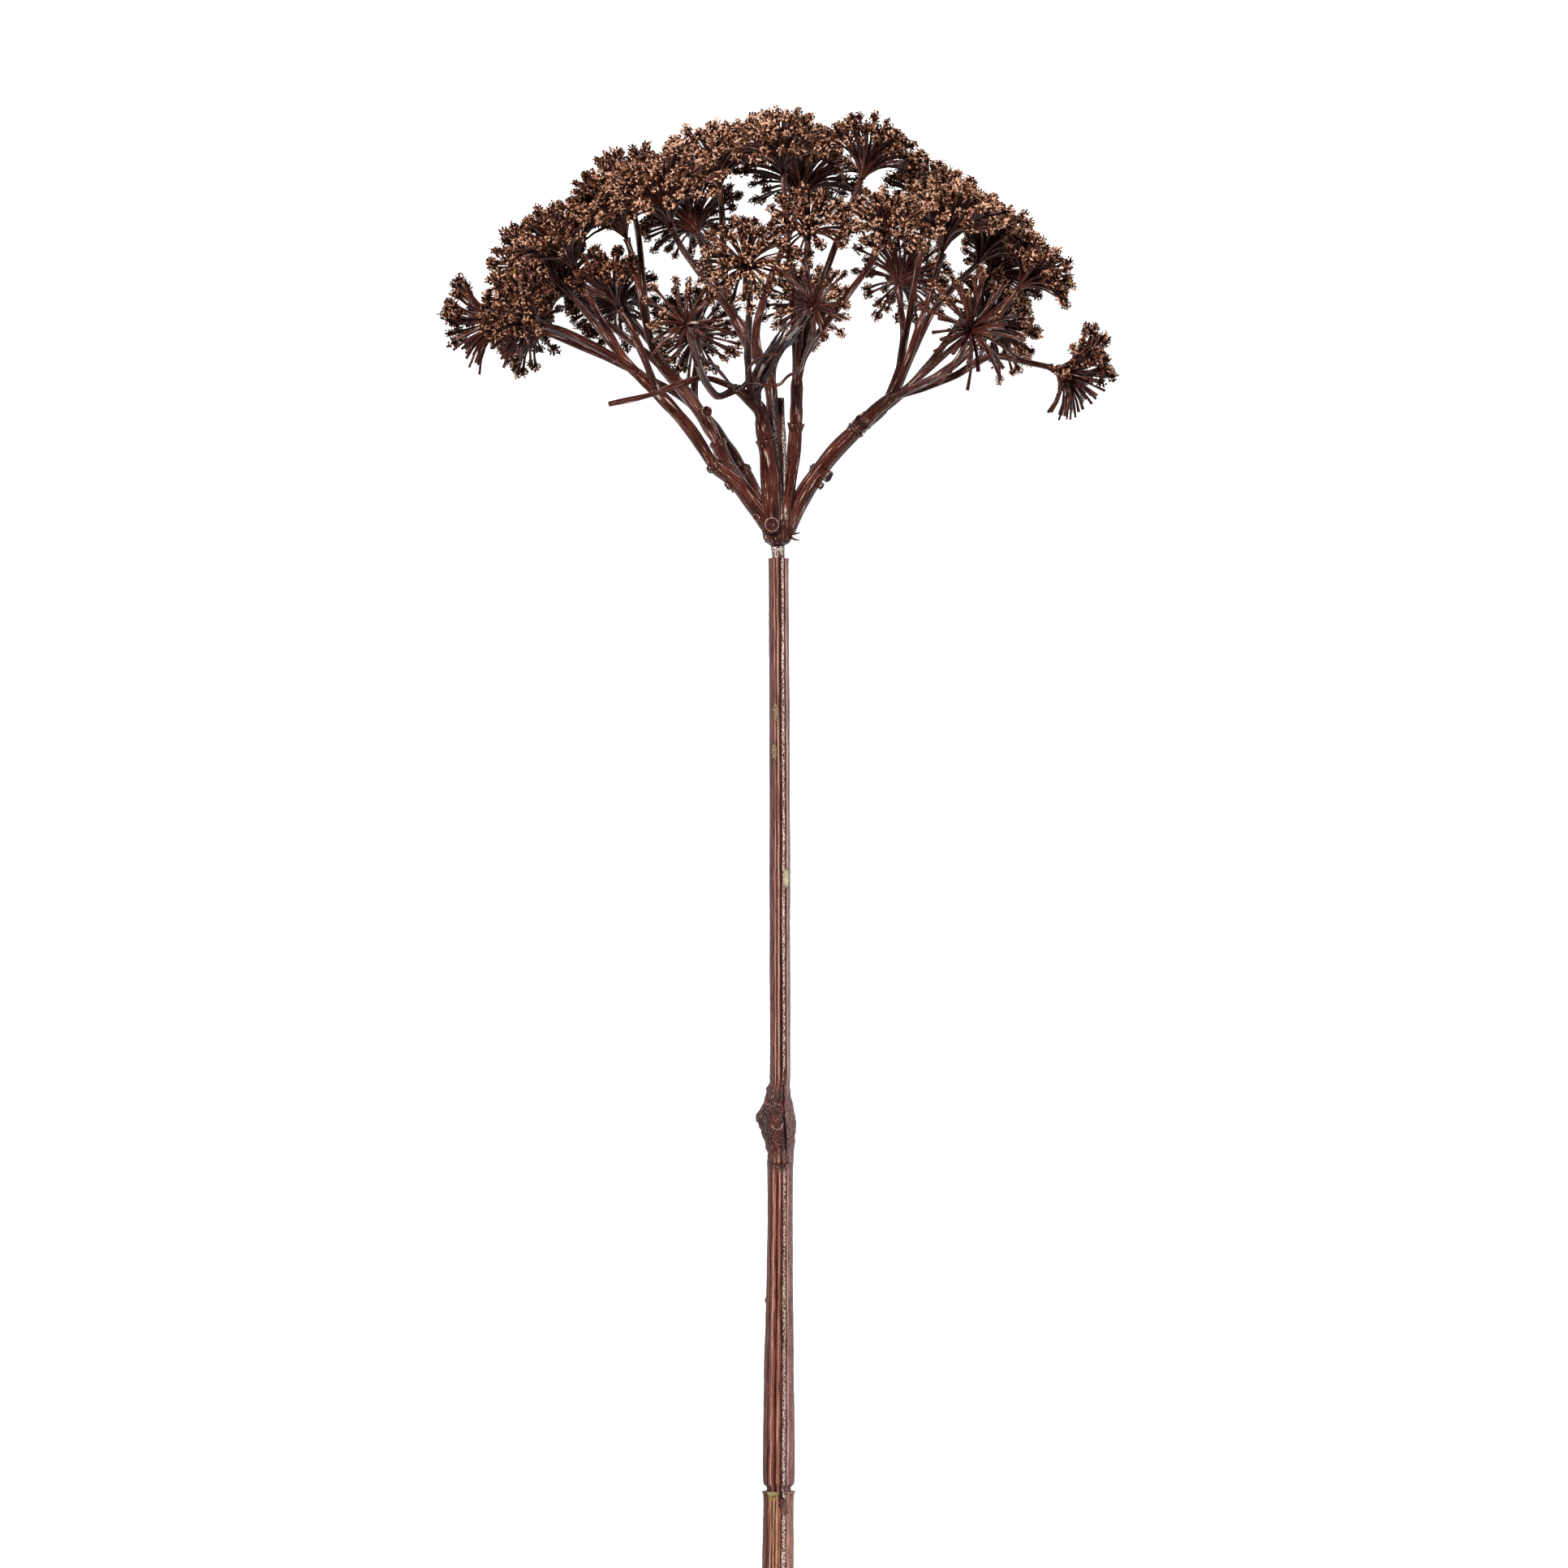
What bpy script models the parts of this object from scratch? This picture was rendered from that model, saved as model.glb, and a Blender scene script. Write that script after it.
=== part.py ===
"""A dried stem of Queen Anne's lace, lying on a flat surface.

Every place is given in millimetres in the growth frame: X to the right, Y along the stem towards
the crown, Z away from the surface, with the hub of the head at the origin. lay() tips that frame
until the cut end of the stem and the lowest florets touch the surface at Z = 0.
"""
import math
import random

import bmesh
import bpy
import numpy as np
from mathutils import Matrix, Vector

MM = 0.001

# The lying pose
STEM_END_Y = -480.0
STEM_END_RADIUS = 5.5
TILT = math.radians(7.7)

# Stem pieces as (height, radius, sideways offset of the centre)
UPPER_STEM = (
    (-217.6, 3.9, 1.0),
    (-214.2, 4.6, 1.0),
    (-208.6, 5.5, 0.5),
    (-202.0, 6.2, -0.2),
    (-192.0, 3.8, 0.5),
    (-186.0, 3.5, 1.0),
    (-150.0, 3.45, 1.05),
    (-110.0, 3.4, 1.0),
    (-68.0, 3.4, 1.0),
    (-25.0, 3.3, 0.8),
    (-12.0, 3.45, 0.4),
    (-9.2, 3.6, 0.35),
)
MIDDLE_STEM = (
    (-327.6, 5.4, 0.4),
    (-315.0, 5.5, 0.4),
    (-290.0, 5.2, 0.5),
    (-252.0, 4.5, 0.8),
    (-222.0, 4.4, 0.9),
    (-217.9, 4.6, 0.9),
)
LOWER_STEM = (
    (STEM_END_Y, STEM_END_RADIUS, 0.0),
    (-440.0, 5.5, 0.0),
    (-400.0, 5.45, 0.0),
    (-357.6, 5.45, 0.1),
    (-334.0, 5.3, 0.3),
    (-331.0, 5.9, 0.3),
)
STEM_SIDES = 20
GAP = 0.3
PLUG_LENGTH = 7.0
MIDDLE_PLUG_RADIUS = 4.3
UPPER_PLUG_RADIUS = 3.0
NECK_RADIUS = 2.1

# The hub, its arms and the ring joints at their ends
HUB_PROFILE = ((-5.5, 2.1), (-3.6, 4.6), (0.0, 5.3), (4.0, 4.6), (8.0, 2.6))
HUB_SIDES = 12
ARM_SIDES = 7
ARM_SPANS = 2
ARM_ROOT_RADIUS = 3.1
ARM_RADIUS = 2.4
LIP_RADIUS = 2.9
LIP_LENGTH = 2.0
SOCKET_RADIUS = 1.9
SOCKET_DEPTH = 4.0
SLIVER = ((2.2, 4.0, 3.5), (1.2, 24.0, 3.4), (0.0, 46.0, 3.0))
SLIVER_HALF_WIDTHS = (0.9, 1.3, 1.6, 1.9, 2.1, 2.1, 1.3)
SLIVER_FLATNESS = 0.38
SLIVER_SIDES = 6

# Sprays
TRUNK_RADIUS = 2.3
TRUNK_END_RADIUS = 1.8
RAY_SIDES = 5
RAY_SPANS = 5
RAY_START_RADIUS = 1.35
RAY_END_RADIUS = 0.95
BEAD_RADIUS = 2.8
PEDICEL_SIDES = 3
PEDICEL_ROOT_RADIUS = 0.3
PEDICEL_RADIUS = 0.7
BARE_TIP_RADIUS = 0.9
PEDICELS = 10
STAR_SPREAD = 80
STAR_OPENING = 0.15
KNOB_SHARE = 0.9
REACH_SHARES = (1.0, 0.92, 0.84, 0.76, 0.68)
NUDGE = 0.22
GOLDEN_ANGLE = math.pi * (3.0 - math.sqrt(5.0))
SEED = 7
SPECK_CORNERS = 8

# Arm of the hub, as the points from the hub to its ring joint
ARMS = {
    "left": ((-2, 1, 2), (-8, 9, 5), (-14.3, 17, 7), (-22.4, 23.2, 9)),
    "left_inner": ((-13, 15, 6), (-17.8, 23, 3), (-20.7, 30.8, 0)),
    "centre": ((-2, 0, 3), (-2.4, 15.4, 7), (-3, 24, 9), (-4.2, 31.4, 10)),
    "right_centre": ((2, 0, 2), (4.2, 15.4, 4), (5.6, 26.6, 6), (6.4, 37, 8)),
    "right": ((3, 0, 0), (9, 12.6, 1), (14.6, 21, 3), (20.2, 28, 5), (27.2, 35, 7)),
    "crown": ((0, 0, -3), (-1, 15, -7), (-1.5, 30, -9)),
    "back_left": ((-2, 0, -3), (-7, 12, -12), (-12, 22, -20)),
    "back_right": ((2, 0, -3), (8, 12, -12), (14, 22, -20)),
}

# Trunk of each spray, as the points from its ring joint to its last fork
TRUNKS = {
    "left": ((-22.4, 23.2, 9), (-30.2, 35, 13), (-40.6, 46.5, 16), (-48.4, 54, 18)),
    "left_inner": ((-20.7, 30.8, 0), (-26, 40, -4), (-33.6, 50.4, -8), (-40, 57.4, -12)),
    "centre": ((-4.2, 31.4, 10), (-5.2, 37, 12), (-6.4, 42, 14), (-14, 48.7, 18)),
    "right_centre": ((6.4, 37, 8), (6.6, 45, 9), (6.7, 51.8, 10)),
    "right": ((27.2, 35, 7), (34.2, 42, 9), (39.8, 46.2, 10)),
    "crown": ((-1.5, 30, -9), (-2.2, 49, -11), (-6.4, 60.2, -12), (-14.8, 74.2, -14)),
    "back_left": ((-12, 22, -20), (-20, 34, -32), (-28, 44, -42)),
    "back_right": ((14, 22, -20), (24, 33, -31), (37, 44, -40)),
}

# Umbellets of each spray, as (fork on the trunk, base, facing, reach, spread in degrees, bare tips)
UMBELLETS = {
    "left": (
        (3, (-92, 74, -8), (-0.93, 0.1, -0.1), 25.0, 50, 4),
        (3, (-80, 70, 24), (-0.85, 0.0, 0.45), 23.0, 66, 2),
        (3, (-76, 87, -22), (-0.75, 0.65, -0.15), 26.0, 66, 0),
        (3, (-69.5, 90, 4), (-0.45, 0.88, 0.15), 26.0, 62, 0),
        (2, (-54, 75, 34), (-0.35, 0.8, 0.45), 22.0, 42, 1),
    ),
    "left_inner": (
        (3, (-52, 101, 2), (-0.4, 0.9, 0.1), 26.0, 64, 0),
        (3, (-50, 112, -34), (-0.3, 0.95, -0.2), 24.0, 66, 0),
        (3, (-72, 84, -50), (-0.6, 0.6, -0.5), 22.0, 72, 0),
    ),
    "centre": (
        (3, (-30.2, 67.2, 72), (-0.25, 0.3, 0.9), 19.0, 86, 4),
        (2, (-10, 86.8, 60), (-0.2, 0.5, 0.85), 19.0, 78, 0),
        (2, (11.8, 73.4, 76), (0.15, 0.3, 0.95), 18.0, 86, 3),
    ),
    "right_centre": (
        (2, (10.4, 99, 44), (0.05, 0.65, 0.75), 18.0, 72, 0),
        (2, (35.6, 98, 38), (0.15, 0.75, 0.6), 19.0, 70, 0),
        (2, (2, 123, 8), (0.0, 0.98, 0.15), 24.0, 68, 0),
        (2, (28.6, 121, 0), (0.35, 0.93, 0.0), 24.0, 58, 0),
    ),
    "right": (
        (2, (56.6, 95, 20), (0.05, 0.97, 0.2), 27.0, 66, 0),
        (2, (69.2, 93, -14), (0.45, 0.87, -0.1), 25.0, 62, 0),
        (2, (82, 83, 8), (0.75, 0.65, 0.1), 21.0, 60, 0),
        (2, (64.1, 66.4, 56), (0.35, 0.15, 0.92), 25.0, 84, 5),
        (2, (94.4, 56, 12), (0.85, -0.35, 0.2), 22.0, 70, 5),
    ),
    "crown": (
        (3, (-20, 120, -24), (-0.15, 0.97, -0.15), 25.0, 68, 0),
        (3, (-36.5, 104, 18), (-0.3, 0.93, 0.25), 28.0, 62, 0),
        (2, (8, 118, -48), (0.1, 0.85, -0.5), 24.0, 74, 0),
        (3, (-28, 106, -60), (-0.3, 0.75, -0.55), 22.0, 74, 0),
        (1, (10, 80, -64), (0.1, 0.35, -0.9), 18.0, 76, 0),
    ),
    "back_left": (
        (2, (-80, 70, -34), (-0.85, 0.3, -0.4), 20.0, 74, 0),
        (2, (-54, 80, -62), (-0.45, 0.5, -0.7), 20.0, 76, 0),
        (2, (-28, 70, -64), (-0.2, 0.3, -0.9), 19.0, 78, 0),
    ),
    "back_right": (
        (2, (70, 72, -44), (0.75, 0.4, -0.5), 22.0, 76, 0),
        (2, (42, 88, -67), (0.35, 0.55, -0.75), 21.0, 76, 0),
        (2, (52, 110, -32), (0.25, 0.93, -0.2), 22.0, 66, 0),
        (2, (74, 90, -46), (0.6, 0.6, -0.45), 20.0, 72, 0),
    ),
}

# Rays that bend on their way, as the points between the fork and the umbellet's base
BENT_RAYS = {
    ("centre", 0): ((-20.4, 45.6, 27), (-25.5, 51.8, 42), (-28, 60.2, 58)),
    ("right", 0): ((45.4, 60.2, 12), (49, 71.4, 14), (53.8, 85.4, 18)),
    ("right", 1): ((47, 62, 6), (53, 75, -1), (62, 86, -9)),
    ("right", 2): ((51, 51.2, 15), (62.2, 58, 13), (74, 71, 10)),
    ("right", 3): ((50, 50, 24), (58, 54.5, 38), (62.5, 59, 48)),
    ("right", 4): ((51, 49.5, 8), (62.2, 54, 8), (73.4, 60, 11), (86, 57.8, 13)),
    ("back_right", 1): ((42, 56, -50), (44, 73, -61)),
    ("back_right", 2): ((43, 60, -38), (48, 88, -34)),
}

# The bare, cut twig that crosses in front of the left arms
CUT_TWIG = ((-14, 48.7, 18), (-24.6, 51.8, 26), (-33, 49.6, 30), (-44.2, 45.6, 32), (-57.7, 42.6, 33))
CUT_TWIG_RADIUS = 1.1

STEM_COLOUR = (0.19, 0.055, 0.035)
BRANCH_COLOUR = (0.06, 0.015, 0.01)


def clear_scene():
    for item in list(bpy.data.objects):
        bpy.data.objects.remove(item, do_unlink=True)


def lay(point):
    """Growth frame to lying frame, still in millimetres."""
    x, y, z = point
    lift = -STEM_END_Y * math.sin(TILT) + STEM_END_RADIUS * math.cos(TILT)
    ahead = y * math.cos(TILT) - z * math.sin(TILT)
    above = y * math.sin(TILT) + z * math.cos(TILT) + lift
    return Vector((x, ahead, above))


def lay_direction(direction):
    return (lay(direction) - lay((0, 0, 0))).normalized()


def smooth_path(points, spans):
    """Points on a Catmull-Rom curve through the given points, with this many spans between each two."""
    ends = [2 * points[0] - points[1], *points, 2 * points[-1] - points[-2]]
    path = []
    for index in range(1, len(ends) - 2):
        before, start, stop, after = ends[index - 1:index + 3]
        for step in range(spans):
            t = step / spans
            path.append(0.5 * (2 * start + (stop - before) * t
                               + (2 * before - 5 * start + 4 * stop - after) * t ** 2
                               + (3 * start - before - 3 * stop + after) * t ** 3))
    path.append(points[-1].copy())
    return path


def arc_path(start, start_direction, stop, stop_direction, spans):
    """Points on a smooth curve that leaves and arrives along the given directions."""
    pull = 0.6 * (stop - start).length
    path = []
    for step in range(spans + 1):
        t = step / spans
        path.append(start * (2 * t ** 3 - 3 * t ** 2 + 1) + start_direction * pull * (t ** 3 - 2 * t ** 2 + t)
                    + stop * (3 * t ** 2 - 2 * t ** 3) + stop_direction * pull * (t ** 3 - t ** 2))
    return path


def path_axes(path):
    last = len(path) - 1
    return [(path[min(i + 1, last)] - path[max(i - 1, 0)]).normalized() for i in range(last + 1)]


def rings_along(centres, radii, sides, axes, flatten=1.0, turns=None):
    """Rings of points square to the axes, carried along without twist."""
    across = axes[0].orthogonal().normalized()
    rings = []
    for index, (centre, radius, axis) in enumerate(zip(centres, radii, axes)):
        if index:
            across = axes[index - 1].rotation_difference(axis) @ across
        beside = axis.cross(across)
        turn = turns[index] if turns else 0.0
        ring = []
        for side in range(sides):
            angle = 2 * math.pi * side / sides + turn
            spoke = across * math.cos(angle) + beside * flatten * math.sin(angle)
            ring.append(centre + spoke * radius)
        rings.append(ring)
    return rings


def solid(name, rings, tip=None):
    """One closed body through the rings, with a flat start and a flat or pointed end."""
    bm = bmesh.new()
    loops = []
    for ring in rings:
        loops.append([bm.verts.new((p.x * MM, p.y * MM, max(p.z, 0.0) * MM)) for p in ring])
    sides = len(loops[0])
    for low, high in zip(loops, loops[1:]):
        for side in range(sides):
            after = (side + 1) % sides
            bm.faces.new((low[side], low[after], high[after], high[side]))
    bm.faces.new(list(reversed(loops[0])))
    if tip is None:
        bm.faces.new(loops[-1])
    else:
        point = bm.verts.new((tip.x * MM, tip.y * MM, max(tip.z, 0.0) * MM))
        for side in range(sides):
            bm.faces.new((loops[-1][side], loops[-1][(side + 1) % sides], point))
    bmesh.ops.triangulate(bm, faces=bm.faces[:])
    bmesh.ops.recalc_face_normals(bm, faces=bm.faces[:])
    return object_from(name, bm)


def object_from(name, bm):
    mesh = bpy.data.meshes.new(name)
    bm.to_mesh(mesh)
    bm.free()
    item = bpy.data.objects.new(name, mesh)
    bpy.context.scene.collection.objects.link(item)
    return item


def bead(name, centre, radius):
    bm = bmesh.new()
    place = Matrix.Translation(centre * MM)
    bmesh.ops.create_icosphere(bm, subdivisions=1, radius=radius * MM, matrix=place)
    return object_from(name, bm)


def drop_specks(mesh):
    """Remove shells of only a few corners, which rounding can leave where bodies cross."""
    bm = bmesh.new()
    bm.from_mesh(mesh)
    unseen = set(bm.verts)
    specks = []
    while unseen:
        shell = {unseen.pop()}
        front = list(shell)
        while front:
            corner = front.pop()
            linked = {edge.other_vert(corner) for edge in corner.link_edges} - shell
            shell |= linked
            front += linked
        unseen -= shell
        if len(shell) < SPECK_CORNERS:
            specks += shell
    bmesh.ops.delete(bm, geom=specks, context="VERTS")
    bm.to_mesh(mesh)
    bm.free()


def union(name, items):
    """Join overlapping closed bodies into one, and drop the pieces."""
    body = items[0]
    pieces = bpy.data.collections.new(name + "_pieces")
    bpy.context.scene.collection.children.link(pieces)
    for item in items[1:]:
        bpy.context.scene.collection.objects.unlink(item)
        pieces.objects.link(item)
    join = body.modifiers.new("join", "BOOLEAN")
    join.operation = "UNION"
    join.solver = "MANIFOLD"
    join.operand_type = "COLLECTION"
    join.collection = pieces
    bpy.context.view_layer.update()
    evaluated = body.evaluated_get(bpy.context.evaluated_depsgraph_get())
    mesh = bpy.data.meshes.new_from_object(evaluated)
    drop_specks(mesh)
    body.modifiers.clear()
    body.data = mesh
    for item in list(pieces.objects):
        bpy.data.objects.remove(item, do_unlink=True)
    bpy.data.collections.remove(pieces)
    body.name = name
    mesh.name = name
    return body


def paint(item, colour, roughness):
    material = bpy.data.materials.new(item.name)
    material.use_nodes = True
    shader = material.node_tree.nodes["Principled BSDF"]
    shader.inputs["Base Color"].default_value = (*colour, 1.0)
    shader.inputs["Roughness"].default_value = roughness
    shader.inputs["Metallic"].default_value = 0.0
    item.data.materials.clear()
    item.data.materials.append(material)


class Clearance:
    """Remembers every twig and floret as a thick straight line, with its node and its owner."""

    def __init__(self):
        self.starts = []
        self.stops = []
        self.radii = []
        self.nodes = []
        self.owners = []

    def add(self, start, stop, radius, node, owner):
        self.starts.append(tuple(start))
        self.stops.append(tuple(stop))
        self.radii.append(radius)
        self.nodes.append(node)
        self.owners.append(owner)

    def slack(self, start, stop, radius, node, owner):
        """How much room is left beside the nearest neighbour; under zero means too close."""
        low = np.array(self.starts)
        along = np.array(self.stops) - low
        samples = np.linspace(tuple(start), tuple(stop), 9)[:, None, :]
        reach = np.maximum((along ** 2).sum(axis=1), 1e-9)
        share = np.clip(((samples - low) * along).sum(axis=2) / reach, 0.0, 1.0)
        distance = np.linalg.norm(samples - low - share[:, :, None] * along, axis=2).min(axis=0)
        radii = np.array(self.radii) + radius
        same_node = np.array([other == node for other in self.nodes])
        same_owner = np.array([other == owner for other in self.owners])
        needed = np.where(same_node, 0.6 * radii, radii + GAP + 0.3)
        needed = np.where(same_owner, -1.0, needed)
        return float((distance - needed).min())


def record_path(clearance, path, radii, node, owner):
    for index in range(len(path) - 1):
        clearance.add(path[index], path[index + 1], max(radii[index:index + 2]), node, owner)


def make_stem(name, profile, plug_radius=None, socket_radius=None):
    """A turned stem piece; its plug sits in the piece below, its socket takes the plug above."""
    centres = []
    radii = []
    if plug_radius:
        low = profile[0][0]
        centres += [(profile[0][2], low - PLUG_LENGTH, 0), (profile[0][2], low, 0)]
        radii += [plug_radius, plug_radius]
    for height, radius, offset in profile:
        centres.append((offset, height, 0))
        radii.append(radius)
    if socket_radius:
        top = profile[-1][0]
        centres += [(profile[-1][2], top, 0), (profile[-1][2], top - PLUG_LENGTH - 2 * GAP, 0)]
        radii += [socket_radius, socket_radius]
    up = lay_direction((0, 1, 0))
    rings = rings_along([lay(c) for c in centres], radii, STEM_SIDES, [up] * len(centres))
    item = solid(name, rings)
    paint(item, STEM_COLOUR, 0.6)
    return item


def arm_solid(name, points, clearance):
    """An arm of the hub, with a lip and a socket at its end."""
    path = smooth_path([lay(p) for p in points], ARM_SPANS)
    axes = path_axes(path)
    radii = np.linspace(ARM_ROOT_RADIUS, ARM_RADIUS, len(path)).tolist()
    radii[-1] = LIP_RADIUS
    record_path(clearance, path, radii, "head_hub", "head_hub")
    end = path[-1]
    axis = axes[-1]
    path.insert(-1, end - axis * LIP_LENGTH)
    axes.insert(-1, axis)
    radii.insert(-1, ARM_RADIUS)
    path += [end, end - axis * SOCKET_DEPTH]
    axes += [axis, axis]
    radii += [SOCKET_RADIUS, SOCKET_RADIUS]
    return solid(name, rings_along(path, radii, ARM_SIDES, axes)), end, axis


def make_hub(clearance):
    up = lay_direction((0, 1, 0))
    rim, _, offset = UPPER_STEM[-1]
    centres = [(offset, rim - PLUG_LENGTH, 0), (offset, rim, 0)]
    radii = [NECK_RADIUS, NECK_RADIUS]
    for height, radius in HUB_PROFILE:
        centres.append((0.0, height, 0))
        radii.append(radius)
    rings = rings_along([lay(c) for c in centres], radii, HUB_SIDES, [up] * len(centres))
    pieces = [solid("head_hub", rings)]
    seats = {}
    for name, points in ARMS.items():
        arm, end, axis = arm_solid("arm_" + name, points, clearance)
        pieces.append(arm)
        seats[name] = (end, axis)
    path = smooth_path([lay(p) for p in SLIVER], 3)
    sliver = rings_along(path, SLIVER_HALF_WIDTHS, SLIVER_SIDES, path_axes(path), flatten=SLIVER_FLATNESS)
    record_path(clearance, path, SLIVER_HALF_WIDTHS, "head_hub", "head_hub")
    pieces.append(solid("sliver", sliver))
    hub = union("head_hub", pieces)
    paint(hub, BRANCH_COLOUR, 0.45)
    return seats


def trunk_solid(name, points, seat, clearance, node):
    """The trunk of a spray, with a plug at its root that sits in the socket of the hub's arm."""
    end, axis = seat
    shoulder = end + axis * GAP
    path = smooth_path([shoulder] + [lay(p) for p in points[1:]], ARM_SPANS)
    axes = path_axes(path)
    axes[0] = axis
    radii = [TRUNK_RADIUS] * len(path)
    radii[-1] = TRUNK_END_RADIUS
    record_path(clearance, path, radii, node, node)
    plug = SOCKET_RADIUS - GAP
    centres = [end - axis * (SOCKET_DEPTH - GAP), shoulder, *path]
    all_axes = [axis, axis, *axes]
    all_radii = [plug, plug, *radii]
    return solid(name, rings_along(centres, all_radii, ARM_SIDES, all_axes)), path, axes


def ray_route(clearance, start, start_direction, base, facing, node, owner):
    """The straightest of a few routes that stays clear of the other sprays."""
    best = None
    for bow in (0.0, 3.0, 6.0, 9.0):
        for turn in range(1 if bow == 0.0 else 8):
            side = (base - start).orthogonal().normalized()
            side.rotate(Matrix.Rotation(turn * math.pi / 4, 3, (base - start).normalized()))
            path = arc_path(start, start_direction, base, facing, RAY_SPANS)
            for index, point in enumerate(path):
                point += side * bow * math.sin(math.pi * index / RAY_SPANS)
            room = min(clearance.slack(path[i], path[i + 1], RAY_START_RADIUS, node, owner)
                       for i in range(1, RAY_SPANS))
            if best is None or room > best[0]:
                best = (room, path)
            if room > 0.0:
                return path
    print("close ray", node, owner, round(best[0], 2))
    return best[1]


def pedicel_solid(name, base, tip, knob_radius, turn):
    """A stalk that swells into a knob of florets and ends in a point."""
    axis = (tip - base).normalized()
    length = (tip - base).length
    neck = base + axis * (length - 1.9 * knob_radius)
    wide = base + axis * (length - 0.7 * knob_radius)
    third = math.pi / PEDICEL_SIDES
    radii = [PEDICEL_ROOT_RADIUS, PEDICEL_RADIUS, knob_radius]
    turns = [turn, turn, turn + third]
    rings = rings_along([base, neck, wide], radii, PEDICEL_SIDES, [axis] * 3, turns=turns)
    return solid(name, rings, tip)


def cap_directions(facing, spread, count, rng):
    """Directions spread evenly over a cap round the facing direction; a star's middle stays open."""
    depth = 1.0 - math.cos(math.radians(spread))
    opening = STAR_OPENING if spread > STAR_SPREAD else 0.0
    across = facing.orthogonal().normalized()
    beside = facing.cross(across)
    start = rng.uniform(0.0, 2 * math.pi)
    directions = []
    for index in range(count):
        cosine = 1.0 - depth * (opening + (1.0 - opening) * (index + 0.35) / count)
        sine = math.sqrt(max(0.0, 1.0 - cosine * cosine))
        angle = start + index * GOLDEN_ANGLE
        direction = facing * cosine + (across * math.cos(angle) + beside * math.sin(angle)) * sine
        directions.append(direction.normalized())
    return directions


def place_pedicels(clearance, base, facing, reach, spread, bare, node, owner, rng):
    """Tips and knob sizes of one umbellet; a tip with no room is drawn in, or left out."""
    cap_area = 2 * math.pi * (1.0 - math.cos(math.radians(spread))) * reach ** 2
    knob = 0.5 * KNOB_SHARE * math.sqrt(cap_area / PEDICELS)
    placed = []
    for index, direction in enumerate(cap_directions(facing, spread, PEDICELS, rng)):
        radius = BARE_TIP_RADIUS if index >= PEDICELS - bare else knob
        length = reach * rng.uniform(0.9, 1.02)
        turn = rng.uniform(0.0, 2 * math.pi)
        nudges = [Vector((0, 0, 0))]
        nudges += [Vector([rng.uniform(-NUDGE, NUDGE) for _ in range(3)]) for _ in range(3)]
        for share, nudge in ((share, nudge) for share in REACH_SHARES for nudge in nudges):
            size = radius * (0.4 + 0.6 * share)
            tip = base + (direction + nudge).normalized() * length * share
            tip.z = max(tip.z, 0.0)
            neck = tip - (tip - base).normalized() * size * 1.2
            room_knob = clearance.slack(neck, tip, 0.8 * size, node, owner)
            room_stalk = clearance.slack(base, neck, PEDICEL_RADIUS, node, owner)
            if min(room_knob, room_stalk) > 0.0:
                placed.append((tip, size, turn))
                clearance.add(neck, tip, 0.8 * size, node, owner)
                clearance.add(base, neck, PEDICEL_RADIUS, node, owner)
                break
    return placed


def lay_out_rays(clearance, seats):
    """Trunks and rays of all sprays first, so that the florets find their room between them."""
    layout = {}
    for name, points in TRUNKS.items():
        node = "spray_" + name
        trunk, path, axes = trunk_solid(node, points, seats[name], clearance, node)
        layout[name] = {"pieces": [trunk], "path": path, "axes": axes, "rays": []}
    twig = smooth_path([lay(p) for p in CUT_TWIG], 2)
    radii = [CUT_TWIG_RADIUS] * len(twig)
    record_path(clearance, twig, radii, "spray_centre", "twig")
    rings = rings_along(twig, radii, RAY_SIDES, path_axes(twig))
    layout["centre"]["pieces"].append(solid("cut_twig", rings))
    for name, rows in UMBELLETS.items():
        node = "spray_" + name
        spray = layout[name]
        for index, (fork, base, facing, reach, spread, bare) in enumerate(rows):
            owner = f"{node}_{index}"
            start = spray["path"][ARM_SPANS * fork]
            start_direction = spray["axes"][ARM_SPANS * fork]
            bends = BENT_RAYS.get((name, index))
            if bends:
                route = smooth_path([start, *(lay(p) for p in bends), lay(base)], 2)
            else:
                route = ray_route(clearance, start, start_direction, lay(base), lay_direction(facing),
                                  node, owner)
            radii = np.linspace(RAY_START_RADIUS, RAY_END_RADIUS, len(route)).tolist()
            record_path(clearance, route, radii, node, owner)
            rings = rings_along(route, radii, RAY_SIDES, path_axes(route))
            spray["pieces"].append(solid("ray", rings))
            spray["rays"].append((owner, route[-1], lay_direction(facing), reach, spread, bare))
    return layout


def make_sprays(clearance, seats):
    rng = random.Random(SEED)
    layout = lay_out_rays(clearance, seats)
    for name, spray in layout.items():
        node = "spray_" + name
        for owner, base, facing, reach, spread, bare in spray["rays"]:
            spray["pieces"].append(bead("bead", base, BEAD_RADIUS))
            placed = place_pedicels(clearance, base, facing, reach, spread, bare, node, owner, rng)
            for tip, size, turn in placed:
                spray["pieces"].append(pedicel_solid("pedicel", base, tip, size, turn))
    for name, spray in layout.items():
        body = union("spray_" + name, spray["pieces"])
        paint(body, BRANCH_COLOUR, 0.5)


def centre_on_origin():
    """Put the origin at the middle of the footprint, on the surface."""
    corners = [item.matrix_world @ vertex.co
               for item in bpy.data.objects for vertex in item.data.vertices]
    middle = [(min(c[axis] for c in corners) + max(c[axis] for c in corners)) / 2 for axis in range(2)]
    for item in bpy.data.objects:
        item.location = (-middle[0], -middle[1], 0.0)


def main():
    clear_scene()
    clearance = Clearance()
    make_stem("stem_lower", LOWER_STEM, socket_radius=MIDDLE_PLUG_RADIUS + GAP)
    make_stem("stem_middle", MIDDLE_STEM, MIDDLE_PLUG_RADIUS, UPPER_PLUG_RADIUS + GAP)
    make_stem("stem_upper", UPPER_STEM, UPPER_PLUG_RADIUS, NECK_RADIUS + GAP)
    seats = make_hub(clearance)
    make_sprays(clearance, seats)
    centre_on_origin()


main()
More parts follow.
